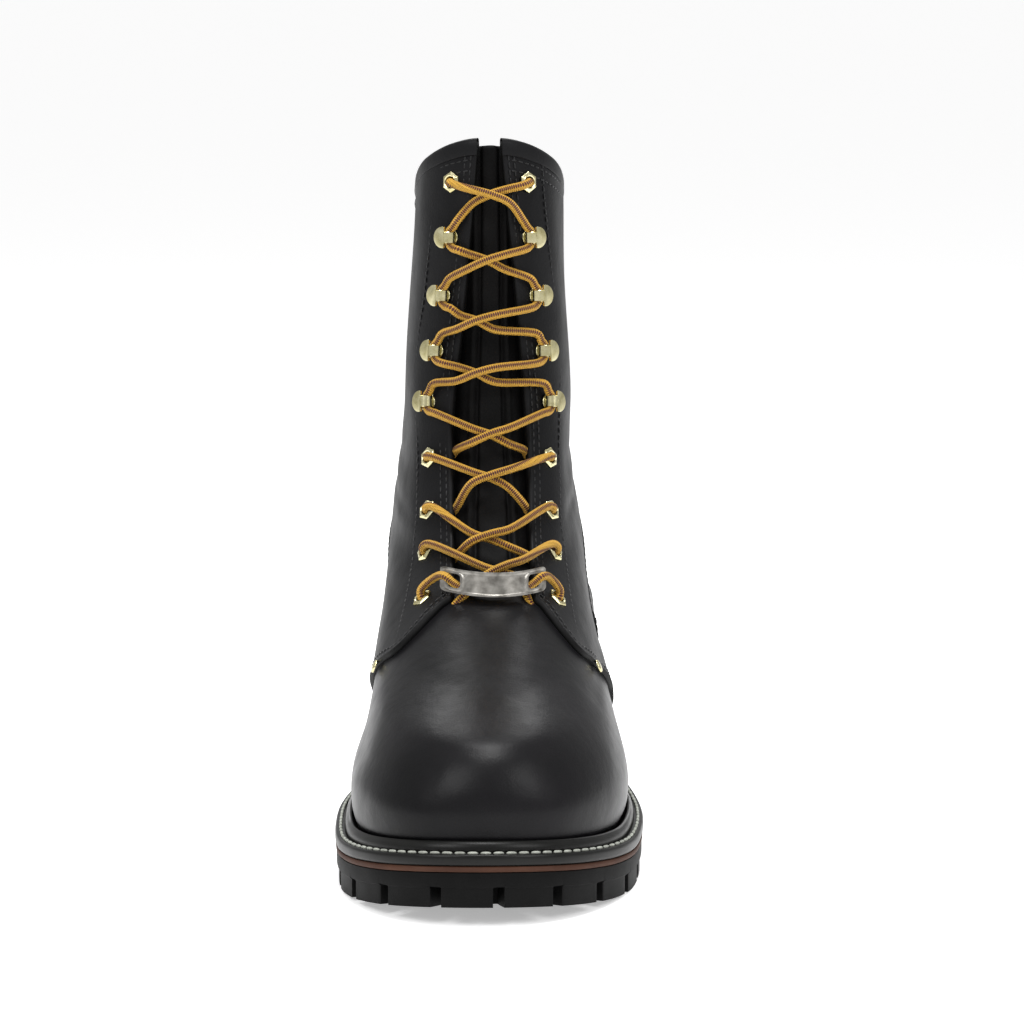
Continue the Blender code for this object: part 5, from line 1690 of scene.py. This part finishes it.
@dataclass
class Hardware(Assembly):
    """Brass eyelets, lacing hooks and rivets."""

    label: str = "hardware"

    def eyelet_mesh(self) -> bpy.types.Mesh:
        """Hexagonal flange that sinks round into its bore."""
        sides = 48
        turn = 2 * math.pi * np.arange(sides) / sides
        apothem = EYELET_ACROSS / 2 * math.cos(math.pi / 6)
        sector = (turn - math.pi / 6) % (math.pi / 3) - math.pi / 6
        hexagon = apothem / np.cos(sector)
        depth = -LEATHER - QUARTER_STEP - 0.0006
        rings = ((0.0, 1.0, -0.0002), (0.0, 1.0, 0.0004), (0.0003, 1.0, 0.0007),
                 (0.0007, 1.0, EYELET_PLATE), (0.0012, 0.6, EYELET_PLATE), (0.0, 0.0, 0.0011),
                 (-0.0004, 0.0, 0.0009), (-0.0006, 0.0, 0.0004), (-0.0007, 0.0, -0.0010),
                 (-0.0007, 0.0, depth), (-0.0002, 0.0, depth))
        rows = []
        for shift, share, height in rings:
            hexed = hexagon - shift
            rounded = np.full(sides, EYELET_BORE + 0.0007 + shift)
            radius = hexed * share + rounded * (1 - share)
            ring = (radius * np.cos(turn), radius * np.sin(turn), np.full(sides, height))
            rows.append(np.stack(ring, axis=1))
        mesh = grid_mesh("eyelet", np.array(rows), closed=True)
        mesh.set_sharp_from_angle(angle=math.radians(SHARP_METAL))
        return mesh

    def hook_mesh(self) -> bpy.types.Mesh:
        """Speed hook: round foot, bent neck and D-shaped cap."""
        half, bend = HOOK_STRIP / 2, (HOOK_MOUTH + HOOK_STRIP) / 2
        middle = [(HOOK_FOOT_RADIUS, half, 1.3), (0.0018, half, 1.2), (-HOOK_BEND_PLACE, half, 1.0)]
        for step in range(1, 12):
            angle = math.radians(-90 - 15 * step)
            middle.append((bend * math.cos(angle) - HOOK_BEND_PLACE,
                           half + bend + bend * math.sin(angle), 1.0))
        middle += [(-HOOK_BEND_PLACE, half + 2 * bend, 1.0), (0.0010, half + 2 * bend, 1.05)]
        path = np.array(middle)
        way = np.gradient(path[:, :2], axis=0)
        way /= np.linalg.norm(way, axis=1, keepdims=True)
        rows = []
        for (x, z, wide), (wx, wz) in zip(path, way):
            corner, edge = HOOK_CORNER, HOOK_NECK / 2 * wide
            section = [(-edge, -half + corner), (-edge, half - corner), (-edge + corner, half),
                       (edge - corner, half), (edge, half - corner), (edge, -half + corner),
                       (edge - corner, -half), (-edge + corner, -half)]
            rows.append([(x - wz * lift, y, z + wx * lift) for y, lift in section])
        neck = grid_mesh("hook_neck", np.array(rows), closed=True)
        work = bmesh.new()
        work.from_mesh(neck)
        bmesh.ops.holes_fill(work, edges=work.edges)
        self.plate(work, HOOK_FOOT_RADIUS, 0.0, 0.0008, -HOOK_FOOT_RADIUS)
        low = HOOK_MOUTH + HOOK_STRIP
        self.plate(work, HOOK_CAP / 2, low - 0.0001, low + HOOK_STRIP + 0.0002, -HOOK_BEND_PLACE)
        bmesh.ops.recalc_face_normals(work, faces=work.faces)
        mesh = close_work(work, bpy.data.meshes.new("hook"))
        mesh.shade_smooth()
        mesh.set_sharp_from_angle(angle=math.radians(SHARP_METAL))
        return mesh

    def plate(self, work: bmesh.types.BMesh, radius: float, low: float, high: float, cut: float) -> None:
        """Adds a round plate with a domed rim, flat along one side.

        Args:
            work: what it joins.
            radius: metres.
            low: its underside.
            high: its upper face.
            cut: least X that it keeps.
        """
        bpy.ops.mesh.primitive_cylinder_add(vertices=40, radius=radius, depth=high - low,
                                            location=(0, 0, (low + high) / 2))
        disc = bpy.context.object
        disc.data.transform(disc.matrix_world)
        for vert in disc.data.vertices:
            vert.co.x = max(vert.co.x, cut)
        disc.matrix_world = Matrix.Identity(4)
        soften(disc, PLATE_ROUNDING, 3)
        work.from_mesh(disc.data)
        bpy.data.objects.remove(disc, do_unlink=True)

    def rivet_mesh(self) -> bpy.types.Mesh:
        """Low domed rivet head."""
        turn = 2 * math.pi * np.arange(32) / 32
        rings = ((1.0, -0.5), (1.02, -0.1), (0.97, 0.12), (0.85, 0.32), (0.60, 0.48), (0.30, 0.56),
                 (0.02, 0.58))
        rows = [np.stack([share * RIVET_RADIUS * np.cos(turn), share * RIVET_RADIUS * np.sin(turn),
                          np.full(32, height * RIVET_HEIGHT)], axis=1) for share, height in rings]
        return grid_mesh("rivet", np.array(rows), closed=True)

    def place(self, seed: bpy.types.Mesh, name: str, matrix: Matrix, node_name: str) -> None:
        """Places a copy of a fitting for its node.

        Args:
            seed: the fitting's mesh.
            name: the piece's name.
            matrix: its frame.
            node_name: the node that it replaces.
        """
        mesh = seed.copy()
        mesh.transform(matrix)
        self.add(link_mesh(name, mesh, [BRASS]), BRASS, node_name)

    def build(self) -> None:
        """Places a fitting at each lacing row and the two rivets."""
        seeds = {"eyelet": self.eyelet_mesh(), "hook": self.hook_mesh()}
        rivet = self.rivet_mesh()
        for side, word in ((-1, "inner"), (1, "outer")):
            for row, (_, _, kind) in enumerate(LACING):
                number = len(LACING) - row
                place, angle = lacing_place(row, side)
                matrix = fitting_matrix(place, angle, QUARTER_STEP + GAP / 2)
                self.place(seeds[kind], f"brass_{kind}_{word}_{number}", matrix, f"{kind}_{word}_{number}")
            self.place(rivet, f"brass_rivet_{word}", rivet_matrix(side), f"rivet_{word}")


@dataclass
class LaceTag(Assembly):
    """Curved plate that the lowest lace bar holds. It bears no lettering."""

    label: str = "lace tag"
    slot_from_end: float = 0.0044
    slot_half: tuple[float, float] = (0.0019, 0.0028)
    upright: float = 0.75
    corner: float = 0.0016
    slot_corner: float = 0.0012
    rim: float = 0.00035
    margin: float = 0.0004
    small: float = 0.00002
    snap: float = 0.00017
    outside: float = 0.00003

    def place(self) -> float:
        """Section place of the tag's middle line."""
        return lacing_place(0, 1)[0] + BAR_SAG

    def lift(self) -> float:
        """How far the back of the tag stands off the leather's face."""
        return QUARTER_STEP + GAP + 2 * LACE_RADIUS + TAG_GAP

    def distance(self, x: Array, y: Array) -> Array:
        """Signed distance to the plate's outline and slots, negative inside the metal.

        Args:
            x: metres along the plate.
            y: metres across it.

        Returns:
            The distances.
        """
        def rounded(px: Array, py: Array, half_x: float, half_y: float, radius: float) -> Array:
            qx, qy = np.abs(px) - half_x + radius, np.abs(py) - half_y + radius
            return np.hypot(np.maximum(qx, 0), np.maximum(qy, 0)) + np.minimum(np.maximum(qx, qy), 0) - radius
        plate = rounded(x, y, TAG_LENGTH / 2, TAG_HEIGHT / 2, self.corner)
        beside = np.abs(x) - (TAG_LENGTH / 2 - self.slot_from_end)
        slot = rounded(beside, y, *self.slot_half, self.slot_corner)
        return np.maximum(plate, -slot)

    def build(self) -> None:
        """Cuts the plate from a grid, snaps its edge, gives it a rim and bends it."""
        columns, rows = 120, 34
        x, y = np.meshgrid(np.linspace(-0.5, 0.5, columns) * (TAG_LENGTH + self.margin),
                           np.linspace(-0.5, 0.5, rows) * (TAG_HEIGHT + self.margin))
        small = self.small
        for _ in range(3):
            d = self.distance(x, y)
            gx = (self.distance(x + small, y) - self.distance(x - small, y)) / (2 * small)
            gy = (self.distance(x, y + small) - self.distance(x, y - small)) / (2 * small)
            near = np.abs(d) < self.snap
            x, y = x - np.where(near, d * gx, 0), y - np.where(near, d * gy, 0)
        d = self.distance(x, y)
        place = np.full(x.shape, self.place())
        angle = FORM.angle_at(place, x)
        normal, up = FORM.frame(place, angle)
        up = up * (1 - self.upright) + np.array([0.0, 0.0, 1.0]) * self.upright
        up /= np.linalg.norm(up, axis=-1, keepdims=True)
        rim = self.rim * smoothstep(-0.0012, -0.0007, d)
        lift = self.lift() + TAG_THICKNESS + rim
        points = FORM.point(place, angle) + normal * lift[..., None] + up * y[..., None]
        mesh = grid_mesh("tag_plate", points)
        work = bmesh.new()
        work.from_mesh(mesh)
        work.verts.ensure_lookup_table()
        flat = d.ravel()
        doomed = [face for face in work.faces
                  if np.mean([flat[vert.index] for vert in face.verts]) > self.outside]
        bmesh.ops.delete(work, geom=doomed, context="FACES")
        tag = link_mesh("silver_lace_tag", close_work(work, mesh), [SILVER])
        add_wall(tag, TAG_THICKNESS)
        smooth_by_angle(tag, 50.0)
        self.add(tag, SILVER, "lace_tag")


@dataclass
class Lace(Assembly):
    """One round cord through every eyelet and hook, with both ends behind the top eyelets."""

    label: str = "lace"
    sides: int = 14
    step: float = 0.0009
    rib: float = 0.00085
    span: float = 0.0062
    over: float = 0.0018
    turn_to_front: float = 0.2

    def on_skin(self, place: float, half: float, lift: float) -> Vector:
        """Point at a place, a signed half width and a height off the leather."""
        angle = float(FORM.angle_at(place, half))
        return Vector(FORM.skin(np.array([place]), np.array([angle]), np.array([lift]))[0])

    def local(self, row: int, side: int, points: Iterable[tuple[float, float, float]]) -> list[Vector]:
        """Points given in metres away from the throat, up the leather and out of it.

        Args:
            row: the lacing row.
            side: +1 or -1.
            points: the points.

        Returns:
            Points in space.
        """
        place, angle = lacing_place(row, side)
        matrix = fitting_matrix(place, angle, QUARTER_STEP + GAP / 2)
        return [matrix @ Vector((x, side * y, z)) for x, y, z in points]

    def facing_exit(self, row: int, side: int) -> list[Vector]:
        """From behind the leather at an eyelet, out at the facing's edge above it.

        Args:
            row: the lacing row.
            side: +1 or -1.

        Returns:
            Points of the route.
        """
        place, _ = lacing_place(row, side)
        ahead = lacing_place(row + 1, side)[0]
        half = LACING[row][0] * SHAFT_WIDTH
        throat = float(FORM.throat_half(place)[0])
        under = -LEATHER - LACE_RADIUS - 0.0001
        rise = ahead - place
        return [self.on_skin(place + 0.06 * rise, side * (half - 0.0016), under - 0.0006),
                self.on_skin(place + 0.14 * rise, side * (throat + 0.0022), under),
                self.on_skin(place + 0.24 * rise, side * (throat - 0.0010), -0.0010)]

    def crossing(self, row: int, side: int, over: float) -> list[Vector]:
        """Middle of the run from one side of a row to the other side of the next.

        Args:
            row: the lower row.
            side: the side it leaves.
            over: height over the other run.

        Returns:
            Points of the route.
        """
        low, high = lacing_place(row, side)[0], lacing_place(row + 1, side)[0]
        lift = QUARTER_STEP + LACE_RADIUS + 0.0016 + over
        middle, aside = CROSSINGS[row]
        return [self.on_skin(low + (middle + climb) * (high - low), aside - step * side * self.span,
                             lift * grow)
                for step, climb, grow in ((-1, -0.15, 0.85), (0, 0.0, 1.0), (1, 0.10, 0.95))]

    def into_eyelet(self, row: int, side: int) -> list[Vector]:
        """Over the flange, down the bore and behind the leather."""
        return self.local(row, side, INTO_EYELET)

    def round_hook(self, row: int, side: int) -> list[Vector]:
        """Under the cap and round the outer side of the neck.

        Args:
            row: the lacing row.
            side: +1 or -1.

        Returns:
            Points of the route.
        """
        level = (HOOK_MOUTH + 2 * HOOK_STRIP) / 2
        inner = -HOOK_BEND_PLACE - HOOK_MOUTH / 2 + LACE_RADIUS + 0.0002
        out = HOOK_NECK / 2 + LACE_RADIUS
        return self.local(row, side, [(x, y, level) for x, y in (
            (-0.0062, -out - 0.0010), (-0.0030, -out - 0.0002), (inner - 0.0004, -0.6 * out),
            (inner + 0.0002, 0.0), (inner - 0.0004, 0.6 * out), (-0.0030, out + 0.0002),
            (-0.0050, out + 0.0028))])

    def half_route(self, side: int) -> list[Vector]:
        """From the lowest eyelet on one side up to the top row.

        Args:
            side: the side of the lowest eyelet.

        Returns:
            Points of the route.
        """
        route = self.facing_exit(0, side)
        for row in range(len(LACING) - 1):
            last = row == len(LACING) - 2
            rises_right = side < 0
            on_top = rises_right != last
            route += self.crossing(row, side, self.over if on_top else -self.over)
            side = -side
            if LACING[row + 1][2] == "hook":
                route += self.round_hook(row + 1, side)
            else:
                route += self.into_eyelet(row + 1, side)
                if not last:
                    route += self.facing_exit(row + 1, side)
        return route

    def bar_route(self) -> list[Vector]:
        """From one lowest eyelet through the tag's slots to the other.

        Returns:
            Points of the route, from left to right.
        """
        tag = LaceTag()
        place, lift = tag.place(), tag.lift()
        slot = TAG_LENGTH / 2 - tag.slot_from_end
        behind, above = lift - LACE_RADIUS - 0.0002, lift + TAG_THICKNESS + LACE_RADIUS + 0.0001
        half = ((slot + 0.0052, above - 0.0012), (slot + 0.0024, above), (slot + 0.0004, lift),
                (slot - 0.0022, behind), (slot - 0.0090, behind - 0.0003))
        right = [self.on_skin(place, out, up) for out, up in half]
        left = [self.on_skin(place, -out, up) for out, up in half]
        middle = self.on_skin(place, 0.0, behind - 0.0003)
        return (self.local(0, -1, OUT_OF_EYELET) + left + [middle] + right[::-1]
                + self.local(0, 1, OUT_OF_EYELET)[::-1])

    def curve(self, route: Sequence[Vector]) -> Array:
        """Smooth line through the route's points, in even steps.

        Args:
            route: the points.

        Returns:
            The line.
        """
        points = np.array([point[:] for point in route])
        gaps = np.sqrt(np.linalg.norm(np.diff(points, axis=0), axis=1))
        knots = np.concatenate([[0.0], np.cumsum(gaps)])
        slopes = np.gradient(points, knots, axis=0)
        fine = np.linspace(0.0, knots[-1], 60 * len(points))
        index = np.clip(np.searchsorted(knots, fine, side="right") - 1, 0, len(knots) - 2)
        width = (knots[index + 1] - knots[index])[:, None]
        t = ((fine - knots[index])[:, None]) / width
        start = (2 * t ** 3 - 3 * t ** 2 + 1) * points[index]
        leaving = (t ** 3 - 2 * t ** 2 + t) * width * slopes[index]
        end = (3 * t ** 2 - 2 * t ** 3) * points[index + 1]
        arriving = (t ** 3 - t ** 2) * width * slopes[index + 1]
        line = start + leaving + end + arriving
        return resample(line, self.step)[0]

    def tube(self, line: Array) -> bpy.types.Mesh:
        """Round tube along a line, with U in ribs along it and V once round it.

        Args:
            line: its middle.

        Returns:
            The mesh.
        """
        ways = np.gradient(line, axis=0)
        ways /= np.linalg.norm(ways, axis=1, keepdims=True)
        side = Vector(ways[0]).orthogonal().normalized()
        front = Vector((0.0, -0.95, 0.3))
        rings = []
        turn = np.linspace(0.0, 2 * math.pi, self.sides + 1)
        for point, way in zip(line, ways):
            direction = Vector(way)
            side = side + self.turn_to_front * front
            side = (side - direction * side.dot(direction)).normalized()
            other = direction.cross(side)
            rings.append(point + LACE_RADIUS * (np.cos(turn)[:, None] * np.array(side)
                                                + np.sin(turn)[:, None] * np.array(other)))
        mesh = grid_mesh("lace", np.array(rings))
        layer = mesh.uv_layers.new(name="UVMap")
        columns = self.sides + 1
        index = np.array([loop.vertex_index for loop in mesh.loops])
        uv = np.stack([(index // columns) * self.step / self.rib, (index % columns) / self.sides], axis=1)
        layer.data.foreach_set("uv", uv.ravel())
        return mesh

    def build(self) -> None:
        """Joins both halves and the bar into one cord."""
        left, right = self.half_route(-1), self.half_route(1)
        line = self.curve(left[::-1] + self.bar_route() + right)
        length = float(np.sum(np.linalg.norm(np.diff(line, axis=0), axis=1)))
        nodes = ["lace_bar"] + [f"lace_crossing_{n}_{n - 1}" for n in range(9, 1, -1)]
        self.add(link_mesh("braided_lace", self.tube(line), [LACE_CORD]), LACE_CORD, *nodes)
        LOG.info("lace: %.2f m of cord", length)


class Studio:
    """Pale floor, soft lights and the photograph's camera."""

    def build(self) -> None:
        """Sets the whole studio."""
        self.floor()
        self.world()
        for name, (where, size, power) in SOFTBOXES.items():
            self.softbox(name, where, size, power)
        self.camera()

    def floor(self) -> None:
        """Wide pale plane under the boot."""
        bpy.ops.mesh.primitive_plane_add(size=FLOOR_WIDTH, location=(0, 0, 0))
        plane = bpy.context.object
        plane.name = "studio_floor"
        plane.data.materials.append(FLOOR_PAINT.make())

    def world(self) -> None:
        """Even white surroundings."""
        world = bpy.data.worlds.new("studio_air")
        world.use_nodes = True
        back = world.node_tree.nodes["Background"]
        back.inputs["Color"].default_value = (1.0, 1.0, 1.0, 1.0)
        back.inputs["Strength"].default_value = AIR_STRENGTH
        bpy.context.scene.world = world

    def softbox(self, name: str, where: tuple[float, float, float], size: tuple[float, float],
                power: float) -> None:
        """Rectangular light that faces the boot.

        Args:
            name: the light's name.
            where: its place.
            size: width and height.
            power: watts.
        """
        data = bpy.data.lights.new(name, "AREA")
        data.shape, data.size, data.size_y, data.energy = "RECTANGLE", *size, power
        light = bpy.data.objects.new(name, data)
        bpy.context.scene.collection.objects.link(light)
        light.location = where
        aim = Vector((0, 0, AIM_HEIGHT)) - Vector(where)
        light.rotation_mode = "QUATERNION"
        light.rotation_quaternion = aim.to_track_quat("-Z", "Y")

    def camera(self) -> None:
        """The fitted view: in front of the toe, looking slightly down."""
        data = bpy.data.cameras.new("photo_camera")
        data.sensor_width = SENSOR_WIDTH
        data.lens = CAMERA_FOCAL / IMAGE_SIZE * data.sensor_width
        data.shift_x = (IMAGE_SIZE / 2 - CAMERA_AXIS_PIXEL) / IMAGE_SIZE
        item = bpy.data.objects.new("photo_camera", data)
        bpy.context.scene.collection.objects.link(item)
        item.location = (0.0, -SOLE_LENGTH / 2 - CAMERA_DISTANCE, CAMERA_HEIGHT)
        item.rotation_euler = (math.radians(90.0 - CAMERA_PITCH), 0.0, 0.0)
        data.clip_start, data.clip_end = 0.05, FLOOR_WIDTH
        bpy.context.scene.camera = item


def write_sizes() -> None:
    """Brings the view layer up to date.
    """
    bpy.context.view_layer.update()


def main() -> None:
    """Builds the dressed boot and its studio."""
    logging.basicConfig(level=logging.INFO, format="%(message)s")
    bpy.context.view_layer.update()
    bpy.context.scene.view_settings.view_transform = "Standard"
    for assembly in (Sole(), Upper(), Tongue(), Hardware(), LaceTag(), Lace()):
        assembly.build()
    Studio().build()
    write_sizes()


if __name__ == "__main__":
    main()
